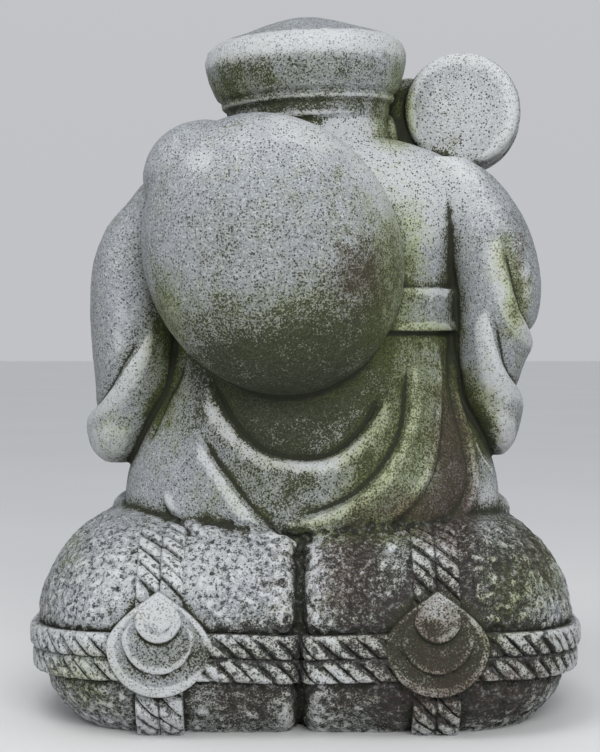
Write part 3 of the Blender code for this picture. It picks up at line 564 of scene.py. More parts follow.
# Folds: the side they are seen from ("round" lines are x, y, z and go round the stone), the line, the height
# of the ridge, the depth of the groove beside it, their widths, and the side that the groove is on (0: both)
folds = (
    # swags of the robe under the sack
    ("back", ((62, 79), (57, 69), (45, 47), (27, 30), (7, 24), (-14, 24), (-32, 33), (-49, 52), (-57, 72)),
     4.5, 5.5, 12, 10, 1),
    ("back", ((66, 42), (56, 24), (43, 7), (31, -8), (19, -18), (1, -26), (-12, -28)), 3.0, 4.0, 9, 9, 1),
    ("back", ((10, -15), (-8, -11), (-28, -3), (-45, 9), (-59, 26), (-67, 44), (-71, 70), (-72, 90)),
     4.5, 4.0, 9, 14, 1),
    # the broad fold that hangs from the belt at the right, between two soft ridges
    ("back", ((-42, -22), (-61, -10), (-77, 8), (-86, 30), (-90, 61), (-91, 99)), 2.2, 3.0, 7, 10, -1),
    ("back", ((-84, -20), (-96, -13), (-105, -5), (-110, 10), (-108, 30), (-103, 54), (-99, 80), (-98, 102)),
     2.5, 3.0, 5, 9, 1),
    # hem at the left
    ("back", ((86, 6), (83, -5), (76, -12), (68, -17), (58, -21), (47, -23)), 2.4, 1.6, 7, 7, -1),
    ("back", ((70, 80), (69, 67), (66, 54), (62, 41)), 0, 1.5, 6, 6, 0),
    # where the sleeves part from the body
    ("back", ((-95, 160), (-98, 146), (-101, 122), (-102, 92), (-103, 70), (-110, 44), (-119, 20), (-125, 8)),
     0, 1.8, 6, 6, 0),
    ("back", ((-108, 44), (-112, 33), (-116, 25), (-121, 17), (-126, 10)), 0, -3.0, 3, 2.6, 0),
    ("back", ((74, 87), (78, 75), (84, 64), (89, 53), (94, 42), (99, 30)), 0, 3.5, 5, 5, 0),
    # pleats and shadow line under the belt
    ("back", ((-50, 103), (-75, 103), (-102, 103)), 0, 3.5, 3, 2.2, 0),
    ("back", ((-77, 104), (-78, 91), (-77, 80), (-73, 62)), 0, 2.0, 4, 3.6, 0),
    ("back", ((-54, 98), (-53, 80), (-49, 65), (-42, 50)), 0, 1.6, 5, 5, 0),
    # layers of the hanging sleeves
    ("round", ((-125, 48, 172), (-129, 54, 153), (-132, 54, 140), (-136, 53, 128), (-141, 48, 115),
               (-149, 30, 103), (-157, 8, 97), (-159, -16, 98), (-155, -38, 108), (-148, -52, 124)),
     3.0, 4.5, 9, 10, 1),
    ("round", ((-115, 52, 124), (-119, 54, 109), (-124, 53, 96), (-129, 49, 84), (-136, 38, 73),
               (-144, 13, 63), (-147, -12, 60), (-143, -38, 68), (-134, -54, 84)), 3.0, 5.0, 9, 11, 1),
    ("round", ((93, 52, 112), (98, 53, 98), (103, 53, 90), (110, 51, 81), (117, 46, 72), (124, 38, 64),
               (131, 25, 56), (138, 5, 50), (138, -18, 50), (133, -40, 60), (124, -54, 76)),
     3.0, 4.0, 8, 9, -1),
    # front: crossed collar, the robe's opening and the gathers of the trousers
    ("front", ((34, 216), (24, 192), (6, 166), (-14, 144), (-22, 134)), 2.5, 2.5, 7, 7, 1),
    ("front", ((-48, 216), (-39, 192), (-26, 172), (-14, 158)), 2.5, 2.5, 7, 7, -1),
    ("front", ((-6, 62), (-8, 30), (-10, 0)), 0, 3.0, 5, 6, 0),
    ("front", ((-88, 58), (-92, 36), (-90, 12)), 0, 2.5, 5, 6, 0),
    ("front", ((-64, 60), (-66, 36), (-66, 12)), 0, 2.5, 5, 6, 0),
    ("front", ((74, 58), (78, 36), (76, 12)), 0, 2.5, 5, 6, 0),
    ("front", ((50, 60), (52, 36), (52, 12)), 0, 2.5, 5, 6, 0),
)
foldSteep = 2.2  # over what width the face of a fold rises from the groove
foldCrest = 3.0  # how far the crest is from the groove
foldFade = 0.16  # the share of a line over which it begins and ends
foldReach = 2.2  # how far beside a line the stone is moved, in widths of the fold


def lidLines():  # the lines under the lower halves of the jewels
    lines = []
    for middle in (lid["left"], lid["right"]):
        for view in ("back", "front"):
            for share, rise, _ in jewels[1:]:
                arc = np.radians(np.linspace(188, 352, 15))
                radius = lid["radius"] * share + lid["lineDrop"]
                level = lid["level"] + lid["radius"] * rise - stone["seat"]
                points = tuple((middle + radius * math.cos(a), level + radius * math.sin(a)) for a in arc)
                lines.append((view, points, 0, lid["line"], lid["lineWidth"], lid["lineWidth"], 0))
    return lines


def spreadForms(listed):  # one mesh that holds every form
    graph = bpy.context.evaluated_depsgraph_get()
    bm = bmesh.new()
    for form in listed:
        mesh = bpy.data.meshes.new_from_object(form.evaluated_get(graph))
        mesh.transform(form.matrix_world)
        bm.from_mesh(mesh)
        bpy.data.meshes.remove(mesh)
    bmesh.ops.remove_doubles(bm, verts=bm.verts, dist=0.000001)
    return finishedMesh("forms", bm)


def applyAll(made):
    bpy.context.view_layer.update()
    mesh = bpy.data.meshes.new_from_object(made.evaluated_get(bpy.context.evaluated_depsgraph_get()))
    made.modifiers.clear()
    made.data = mesh


def soften(made, factor, rounds):
    smooth = made.modifiers.new("soften", "SMOOTH")
    smooth.factor = factor
    smooth.iterations = rounds


def dropHollows(mesh):  # takes out the shells that line a gap left inside the stone
    bm = bmesh.new()
    bm.from_mesh(mesh)
    unseen = set(bm.verts)
    while unseen:
        shell, border = set(), [next(iter(unseen))]
        while border:
            vert = border.pop()
            if vert not in shell:
                shell.add(vert)
                border.extend(edge.other_vert(vert) for edge in vert.link_edges)
        unseen -= shell
        faces = {part for vert in shell for part in vert.link_faces}
        if sum(part.calc_center_median().dot(part.normal) * part.calc_area() for part in faces) < 0:
            bmesh.ops.delete(bm, geom=list(shell), context="VERTS")
    bm.to_mesh(mesh)
    bm.free()


def fuse(name, parts, voxel):
    made = newObject(name, spreadForms(list(parts.objects)), bpy.context.scene.collection)
    remesh = made.modifiers.new("fuse", "REMESH")
    remesh.mode = "VOXEL"
    remesh.voxel_size = voxel * step
    soften(made, 0.5, 1)
    applyAll(made)
    dropHollows(made.data)
    for used in list(parts.objects):
        bpy.data.objects.remove(used)
    print(name, "fused,", len(made.data.polygons), "faces")
    return made


def readRows(items, field, width, kind):
    flat = np.empty(len(items) * width, kind)
    items.foreach_get(field, flat)
    return flat.reshape(-1, width)


def readPoints(mesh):
    return readRows(mesh.vertices, "co", 3, np.float32).astype(float)


def readNormals(mesh):
    return readRows(mesh.vertex_normals, "vector", 3, np.float32).astype(float)


def readEdges(mesh):
    return readRows(mesh.edges, "vertices", 2, np.int32)


def writePoints(mesh, points):
    mesh.vertices.foreach_set("co", points.ravel())
    mesh.update()


def evened(values, ends, rounds):  # each value moved towards the mean of its neighbours
    count = len(values)
    both = np.vstack([ends, ends[:, ::-1]])
    degree = np.maximum(np.bincount(both[:, 0], minlength=count), 1)
    for _ in range(rounds):
        around = np.stack([np.bincount(both[:, 0], v[both[:, 1]], count) for v in values.T], 1)
        values = 0.5 * values + 0.5 * around / degree[:, None]
    return values


def foldLine(view, points, surface):  # the fold's points laid on the stone, with the stone's normals there
    line, normals = [], []
    for point in smoothLine(points, 1.2):
        if view == "round":
            hit, normal, _, _ = surface.find_nearest(at(*point))
        else:
            outward = Vector((0, 1 if view == "back" else -1, 0))
            hit, normal, _, _ = surface.ray_cast(at(point[0], 0, point[1]) + outward, -outward)
        if hit is not None:
            line.append(hit)
            normals.append(normal)
    line, normals = np.array(line), np.array(normals)
    for _ in range(12):
        line[1:-1] = (line[:-2] + line[1:-1] + line[2:]) / 3
        normals[1:-1] = unit(normals[:-2] + normals[1:-1] + normals[2:])
    return line, normals


def foldHeight(side, ridge, groove, ridgeWidth, grooveWidth, grooveSide):
    if not grooveSide:
        return -groove * np.exp(-abs(side) / (0.5 * grooveWidth))
    side = side - foldCrest
    inner = -groove * np.exp(-np.maximum(side, 0) / (0.6 * grooveWidth))
    out = np.maximum(-side, 0)
    rise = (ridge + groove) * (1 - np.exp(-out / foldSteep)) * np.exp(-((out / (1.35 * ridgeWidth)) ** 2))
    return np.where(side > 0, inner, rise - groove * np.exp(-((out / ridgeWidth) ** 2)))


def carve(made, lines):
    mesh = made.data
    bm = bmesh.new()
    bm.from_mesh(mesh)
    surface = BVHTree.FromBMesh(bm)
    bm.free()
    points = readPoints(mesh)
    moved = np.zeros_like(points)
    for view, layout, ridge, groove, ridgeWidth, grooveWidth, grooveSide in lines:
        line, normals = foldLine(view, layout, surface)
        across = unit(np.cross(normals, unit(np.gradient(line, axis=0)))) * (grooveSide or 1)
        reach = foldReach * max(ridgeWidth, grooveWidth) * step
        near = np.flatnonzero(((points > line.min(0) - reach) & (points < line.max(0) + reach)).all(1))
        gaps = np.linalg.norm(points[near][:, None] - line[None], axis=2)
        nearest = gaps.argmin(1)
        inside = gaps[np.arange(len(near)), nearest] < reach
        near, nearest = near[inside], nearest[inside]
        offset = (points[near] - line[nearest]) / step
        side = (offset * across[nearest]).sum(1)
        sunk = (offset * normals[nearest]).sum(1)
        share = nearest / (len(line) - 1)
        fade = ramp(np.minimum(share, 1 - share), 0, foldFade)
        fade = fade * np.exp(-((sunk / (1.2 * ridgeWidth)) ** 2))
        height = foldHeight(side, ridge, groove, ridgeWidth, grooveWidth, grooveSide)
        moved[near] += normals[nearest] * (height * fade)[:, None] * step
    moved = evened(moved, readEdges(mesh), 2)
    writePoints(mesh, points + moved)


def pattern(points, size, seed):  # soft noise with features of that size, in steps
    shift = Vector((17.3, 5.1, 11.7)) * seed
    scale = 1 / (size * step)
    return np.array([noise.noise(Vector(p) * scale + shift) for p in points])


weather = {
    "baleRough": 0.7, "figureRough": 0.12, "bigLumps": 13, "smallLumps": 6, "pits": 7, "pitDepth": 1.4,
    "pitEdges": (0.18, 0.42),  # the noise between which a pit begins and is full
    "straw": (118, 136),  # the heights between which the coarse straw ends and the smooth figure begins
    "lidFrom": 118,  # how far out along a bale a point may be on a lid
    "lidSmooth": 0.85,
    "back": (-45, -12),  # between which y the listed stains and painted shade of the back begin
    "stainSize": 60,  # of the stains elsewhere, and the noise between which one begins and is full
    "stainEdges": (-0.05, 0.5),
    "nearCell": 2.0,  # the cells of the two grids that small and wide hollows are read from
    "wideCell": 5.5,
}


def coarseness(points):  # 1 on the straw of the bales, 0 on the figure and the lids
    x, y, z = (points / step).T
    onLid = np.zeros(len(points))
    for middle in (lid["left"], lid["right"]):
        away = np.hypot(x - middle, z - lid["level"])
        inside = 1 - ramp(away, lid["radius"] * 0.98, lid["radius"] * 1.06)
        onLid = np.maximum(onLid, inside * (abs(y) > weather["lidFrom"]))
    return (1 - ramp(z, *weather["straw"])) * (1 - weather["lidSmooth"] * onLid)


def roughen(made):  # the bales are coarse and pitted, the figure and the lids are nearly smooth
    mesh = made.data
    points, normals = readPoints(mesh), readNormals(mesh)
    coarse = coarseness(points)
    amount = weather["figureRough"] + (weather["baleRough"] - weather["figureRough"]) * coarse
    lumps = 0.6 * pattern(points, weather["bigLumps"], 1) + 0.8 * pattern(points, weather["smallLumps"], 2)
    pits = ramp(pattern(points, weather["pits"], 3), *weather["pitEdges"]) * weather["pitDepth"] * coarse
    writePoints(mesh, points + normals * ((lumps * 2 * amount - pits) * step)[:, None])


def thin(made, triangles):
    fewer = made.modifiers.new("thin", "DECIMATE")
    fewer.ratio = triangles / (2 * len(made.data.polygons))
    applyAll(made)


def combine(made, others, operation):
    bpy.context.view_layer.update()
    for other in others:
        both = made.modifiers.new(other.name, "BOOLEAN")
        both.operation = operation
        both.solver = "MANIFOLD"
        both.object = other
    applyAll(made)
    for other in others:
        bpy.data.objects.remove(other)


def standFlat(made):
    depth = 100
    bm = bmesh.new()
    bmesh.ops.create_cube(bm, size=1)
    bmesh.ops.scale(bm, vec=(4 * stoneHigh.z, 4 * stoneHigh.z, depth * step), verts=bm.verts)
    cutter = newObject("floor cut", finishedMesh("floor cut", bm), guides)
    cutter.location.z = stoneLow.z - depth * step / 2
    combine(made, [cutter], "DIFFERENCE")


def settle(made):  # puts the stone where the frame's own stone is
    points = readPoints(made.data)
    shift = ((stoneLow + stoneHigh) / 2 - Vector((points.max(0) + points.min(0)) / 2)).xy
    made.data.transform(Matrix.Translation((*shift, 0)))
    return shift


def carveStone():
    ropes = makeBales()
    makeRobe()
    makeBelt()
    makeLegs()
    makeSack()
    makeHead()
    makeCap()
    makeMallet()
    makeHands()
    bpy.context.view_layer.update()
    lids = fuse("lids", plates, stone["lidVoxel"])
    carve(lids, lidLines())
    thin(lids, stone["lidTriangles"])
    made = fuse("stone_statue", forms, stone["voxel"])
    carve(made, folds)
    print("folds carved")
    roughen(made)
    thin(made, stone["triangles"])
    combine(made, [lids, *ropes], "UNION")
    print("ropes and lids joined")
    standFlat(made)
    shift = settle(made)
    made.data.shade_smooth()
    made.data.set_sharp_from_angle(angle=math.radians(stone["sharp"]))
    print("stone thinned to", sum(len(p.vertices) - 2 for p in made.data.polygons), "triangles")
    return made, shift


statue, settled = carveStone()


shelter = {"reach": 55, "rays": 20, "lift": 0.6, "evened": 3, "underEvened": 6}


def sheltered(mesh):  # how much stone stands over each point, from 0 in the open to 1 in a crevice
    surface = BVHTree.FromPolygons([v.co for v in mesh.vertices], [p.vertices for p in mesh.polygons])
    golden = math.pi * (3 - math.sqrt(5))
    ways = []
    for i in range(shelter["rays"]):
        low = math.sqrt((i + 0.5) / shelter["rays"])
        around = (low * math.cos(i * golden), low * math.sin(i * golden))
        ways.append(Vector((*around, math.sqrt(1 - low * low))))
    reach = shelter["reach"] * step
    found = []
    for vert in mesh.vertices:
        turn = vert.normal.to_track_quat("Z", "Y").to_matrix()
        start = vert.co + vert.normal * shelter["lift"] * step
        blocked = 0.0
        for way in ways:
            gap = surface.ray_cast(start, turn @ way, reach)[3]
            if gap is not None:
                blocked += 1 - gap / reach
        found.append(blocked / shelter["rays"])
    return np.array(found)


# Stains on the back, seen from there, with painted shade and light among them: x, height, half width, half
# height, strength
stains = {
    "pale": (
        (46, 214, 48, 28, 0.7), (62, 208, 6, 6, 1.2), (-67, 211, 48, 24, 1.4), (-76, 176, 26, 32, 1.1),
        # the fields at (-20, 226) on this line and (-22, 236) below lie across the neck: painted light over
        # the shade under the cap
        (-121, 179, 20, 20, 0.5), (-108, 253, 44, 44, 1.0), (-20, 226, 36, 9, 1.2),
        (119, 131, 20, 46, 0.35), (118, 45, 15, 17, 0.3), (70, 17, 40, 40, 0.35), (-119, 5, 8, 20, 0.7),
        (60, -38, 60, 22, 0.9), (120, -50, 26, 32, 0.5), (85, -86, 30, 30, 0.3), (-127, -2, 24, 9, 0.9),
        (-87, -28, 11, 8, 1.4), (-13, 294, 44, 7, 0.5), (-22, 236, 34, 8, 1.4), (-40, -20, 50, 8, 0.8),
    ),
    "green": (
        (46, 262, 20, 14, 0.7), (0, 262, 40, 14, 0.35), (-66, 262, 9, 24, 1.0), (-61, 240, 13, 18, 1.0),
        (-55, 137, 15, 44, 0.8), (10, 110, 60, 30, 0.5), (-20, 180, 40, 40, 0.3), (50, 200, 24, 16, 0.15),
        (81, 118, 11, 32, 0.5), (-70, 60, 36, 50, 1.0), (-50, 5, 34, 28, 1.0), (-112, 49, 15, 28, 0.9),
        (-138, 121, 10, 24, 1.0), (-130, 153, 10, 22, 0.6), (-143, -44, 32, 26, 0.8),
        (-115, -70, 15, 26, 0.5), (85, 74, 14, 40, 0.8), (117, 42, 18, 18, 0.5), (129, -110, 26, 20, 0.6),
        (144, -32, 13, 15, 0.5), (-82, 102, 20, 6, 0.8), (-73, 159, 11, 27, 0.6), (-31, -17, 40, 10, 0.8),
        (30, 10, 30, 20, 0.4),
    ),
    "dark": (
        # partly algae, partly painted shade: the dark under the sack (heights 46 to 100), the band under the
        # cap's roll (height 250) and the lower parts of the bales (heights -83 to -119)
        (12, 76, 60, 30, 1.2), (0, 100, 60, 30, 0.5), (-42, 122, 22, 36, 0.35), (14, 165, 70, 60, 0.18),
        (10, 46, 50, 24, 0.8), (30, 22, 24, 16, 0.4), (4, 6, 34, 18, 0.45), (-41, 22, 10, 13, 0.8),
        (-54, 61, 10, 27, 0.6), (-33, -44, 32, 36, 0.5), (-38, -30, 14, 40, 0.5),
        (-82, -83, 38, 40, 1.05), (-78, -119, 62, 20, 1.1), (-137, -110, 32, 22, 0.7),
        (-137, -92, 32, 14, 0.4), (-75, -41, 13, 26, 0.5), (-34, -84, 42, 14, 0.9),
        (-110, -60, 50, 30, 0.45), (-120, -84, 34, 12, 0.6), (36, -84, 36, 12, 0.45),
        (-140, -30, 34, 24, 0.6), (5, -68, 11, 64, 0.8), (30, -119, 38, 17, 0.75),
        (27, -89, 30, 15, 0.55), (126, -116, 26, 15, 0.6), (0, 270, 70, 22, 0.42),
        (48, 264, 22, 16, 0.40), (-13, 250, 54, 6, 0.7), (-126, 212, 15, 13, 0.6),
        (95, 105, 14, 40, 0.35), (-121, 43, 14, 17, 0.6), (-99, 130, 8, 40, 0.25),
        (-118, 30, 10, 60, 0.3), (-44, 150, 14, 16, 0.35), (-100, 44, 26, 20, 0.45),
        (85, -83, 32, 34, 0.25), (-80, -90, 90, 12, 0.35), (60, -88, 44, 10, 0.2), (-99, 0, 16, 40, 0.5),
    ),
    "brown": (
        (-97, 27, 16, 56, 1.2), (-82, -11, 28, 15, 0.9), (-37, 139, 24, 27, 0.7), (-30, -38, 22, 40, 0.9),
        (-131, -110, 23, 17, 0.8), (15, -41, 16, 26, 0.35), (39, -116, 38, 16, 0.6),
        (-60, -1, 17, 11, 0.5), (-82, -83, 36, 36, 0.8), (-146, -34, 22, 30, 0.5),
        (-60, -118, 50, 16, 0.6), (-140, 150, 6, 40, 0.5),
    ),
}


def stainsAndShadeFields(points, hidden):  # the four stain fields at each point, with painted shade in them, as soft fields
    x, y, z = ((points - (*settled, 0)) / step - (0, 0, stone["seat"])).T
    behind = ramp(y, *weather["back"])
    fields = []
    for k, kind in enumerate(("pale", "green", "dark", "brown")):
        field = np.zeros(len(points))
        for across, height, wide, high, strength in stains[kind]:
            field += strength * np.exp(-(((x - across) / wide) ** 2) - ((z - height) / high) ** 2)
        elsewhere = ramp(pattern(points, weather["stainSize"], 10 + k), *weather["stainEdges"]) * 0.8
        # sheltered points get more green and dark: growth there, and painted shade
        if kind != "pale":
            elsewhere = elsewhere * 0.8 + 0.5 * hidden * (kind != "brown")
        fields.append(behind * field + (1 - behind) * elsewhere)
    return fields


def writeColours(mesh, name, channels):
    layer = mesh.attributes.new(name, "FLOAT_COLOR", "POINT")
    layer.data.foreach_set("color", np.stack(channels, 1).astype(np.float32).ravel())


def surfaceSamples(mesh):  # points spread over the surface, with the area that each stands for
    mesh.calc_loop_triangles()
    corners = readRows(mesh.loop_triangles, "vertices", 3, np.int32)
    a, b, c = readPoints(mesh)[corners].transpose(1, 0, 2)
    area = np.linalg.norm(np.cross(b - a, c - a), axis=1) / 2
    middle = (a + b + c) / 3
    samples = [middle] + [(middle + corner) / 2 for corner in (a, b, c)]
    return np.concatenate(samples), np.tile(area / 4, 4)


def softened(grid):  # blurred along every side by about one and a half cells
    for axis in range(3):
        for _ in range(2):
            before, after = np.roll(grid, 1, axis), np.roll(grid, -1, axis)
            farther = np.roll(before, 1, axis) + np.roll(after, -1, axis) - before - after
            grid = (grid + before + after) / 3 + farther / 9
    return grid


def sunkBy(points, normals, samples, areas, cell):  # how far each point lies under its surroundings, in steps
    low = points.min(0) - 6 * cell
    shape = tuple(np.ceil((points.max(0) + 6 * cell - low) / cell).astype(int))
    index = np.ravel_multi_index(((samples - low) / cell).astype(int).T, shape)
    grids = [areas, *(samples.T * areas)]
    grids = [softened(np.bincount(index, g, math.prod(shape)).reshape(shape)) for g in grids]
    place = (points - low) / cell - 0.5
    base = np.floor(place).astype(int)
    part = place - base
    sums = np.zeros((4, len(points)))
    for corner in np.ndindex(2, 2, 2):
        share = np.prod(np.where(corner, part, 1 - part), axis=1)
        i, j, k = (base + corner).T
        sums += [g[i, j, k] * share for g in grids]
    middle = (sums[1:] / np.maximum(sums[0], 1e-12)).T
    return ((middle - points) * normals).sum(1) / step


def markWeatherAndShade(made):
    mesh = made.data
    points, normals, ends = readPoints(mesh), readNormals(mesh), readEdges(mesh)
    # hidden: how much stone stands over a point; under: how far it faces down. The finish paints shade with
    # both, and lays growth where it is sheltered
    hidden = evened(sheltered(mesh)[:, None], ends, shelter["evened"])[:, 0]
    print("shelter found")
    under = evened(np.clip(-normals[:, 2:], 0, 1), ends, shelter["underEvened"])[:, 0]
    writeColours(mesh, "wear", (hidden, under, coarseness(points - (*settled, 0)), np.ones(len(points))))
    writeColours(mesh, "stains", stainsAndShadeFields(points, hidden))
    # hollows: how far a point lies under its surroundings, at two sizes. The finish darkens hollows as
    # painted shade and dirt, and lightens crests, partly as a painted highlight
    samples, areas = surfaceSamples(mesh)
    cells = (weather["nearCell"] * step, weather["wideCell"] * step)
    hollows = [sunkBy(points, normals, samples, areas, cell) for cell in cells]
    writeColours(mesh, "hollows", (*hollows, np.zeros(len(points)), np.ones(len(points))))


markWeatherAndShade(statue)
print("weather marked")


class Wire:  # a socket that can stand in a sum
    def __init__(self, finish, socket):
        self.finish, self.socket = finish, socket

    def maths(self, operation, *others):
        values = {i: v for i, v in enumerate((self, *others))}
        return self.finish.node("Math", {"operation": operation}, values)

    def __add__(self, other):
        return self.maths("ADD", other)

    __radd__ = __add__

    def __sub__(self, other):
        return self.maths("SUBTRACT", other)

    def __rsub__(self, other):
        return self.finish.node("Math", {"operation": "SUBTRACT"}, {0: other, 1: self})

    def __mul__(self, other):
        return self.maths("MULTIPLY", other)

    __rmul__ = __mul__

    def least(self, other):
        return self.maths("MINIMUM", other)

    def clamped(self):
        return self.finish.node("Clamp", {}, {0: self})

    def between(self, low, high, start=0.0, end=1.0):  # a soft step
        values = {"Value": self, "From Min": low, "From Max": high, "To Min": start, "To Max": end}
        return self.finish.node("MapRange", {"interpolation_type": "SMOOTHSTEP"}, values)


def fillRamp(made, stops):
    while len(made.elements) < len(stops):
        made.elements.new(1.0)
    for element, (place, colour) in zip(made.elements, stops):
        element.position = place
        element.color = (*colour, 1)


class Finish:  # a material or a sky, with its nodes made by one method
    def __init__(self, owner):
        owner.use_nodes = True
        self.tree = owner.node_tree
        shaders = ("ShaderNodeBsdfPrincipled", "ShaderNodeBackground")
        self.shader = next(n for n in self.tree.nodes if n.bl_idname in shaders)

    def node(self, kind, settings, values, output=0):
        made = self.tree.nodes.new("ShaderNode" + kind)
        for key, value in settings.items():
            if key == "stops":
                fillRamp(made.color_ramp, value)
            else:
                setattr(made, key, value)
        for key, value in values.items():
            if isinstance(value, Wire):
                self.tree.links.new(value.socket, made.inputs[key])
            else:
                made.inputs[key].default_value = value
        return Wire(self, made.outputs[output])

    def mix(self, share, first, second, blend="MIX"):
        sides = [(*c, 1) if isinstance(c, tuple) else c for c in (first, second)]
        settings = {"data_type": "RGBA", "blend_type": blend, "clamp_factor": True}
        return self.node("Mix", settings, {0: share, 6: sides[0], 7: sides[1]}, 2)

    def speckle(self, place, size, detail=4.0, roughness=0.6):  # noise from 0 to 1, its size in mm
        values = {"Vector": place, "Scale": 1000 / size, "Detail": detail, "Roughness": roughness}
        return self.node("TexNoise", {"noise_dimensions": "3D"}, values)

    def cells(self, place, size):  # how far the middle of the nearest cell is, and its kind from 0 to 1
        values = {"Vector": place, "Scale": 1000 / size}
        kinds = self.node("TexVoronoi", {"feature": "F1"}, values, "Color")
        gap = Wire(self, kinds.socket.node.outputs["Distance"])
        return gap, self.node("SeparateColor", {}, {0: kinds}, 0)

    def channels(self, name):
        colour = self.node("Attribute", {"attribute_name": name}, {}, "Color")
        rest = self.node("Attribute", {"attribute_name": name}, {}, "Alpha")
        split = [self.node("SeparateColor", {}, {0: colour}, k) for k in range(3)]
        return (*split, rest)

    def feed(self, **inputs):
        for key, value in inputs.items():
            socket = self.shader.inputs[key.replace("_", " ")]
            if isinstance(value, Wire):
                self.tree.links.new(value.socket, socket)
            else:
                socket.default_value = value


granite = {
    # sizes in mm, from the widest cloud of growth down to the finest grain
    "drift": 60, "patches": 30, "cloud": 16, "blots": 8, "pits": 3.4,
    "specks": 1.2, "otherSpecks": 1.1, "dotSpacing": 1.7, "grainSize": 0.9, "fine": 0.8,
    "relief": 0.0010,  # metres
    "grains": (  # the share of the grains from which each colour is used
        (0.00, (0.245, 0.262, 0.278)), (0.25, (0.30, 0.319, 0.337)), (0.50, (0.345, 0.366, 0.385)),
        (0.80, (0.40, 0.422, 0.440)), (1.0, (0.52, 0.54, 0.555)),
    ),
    "dot": (0.035, 0.038, 0.036),
    "pale": (0.58, 0.59, 0.59),
    "filmAndShade": (0.58, 0.58, 0.43),  # what thin growth, and the shade painted with it, does to the colour of the stone
    "greenFilm": (0.68, 0.74, 0.38),
    "brownFilm": (0.42, 0.35, 0.30),
    "moss": (0.095, 0.118, 0.030),
    "darkAlgae": (0.027, 0.032, 0.014),
    "lichen": (0.030, 0.028, 0.029),
    "driedGrowth": (0.16, 0.165, 0.14),
    "brown": (0.045, 0.031, 0.026),
    # near black of painted shade and grime in lines and hollows
    "shadeAndGrime": (0.026, 0.028, 0.018),
    "pit": (0.040, 0.040, 0.036),
}


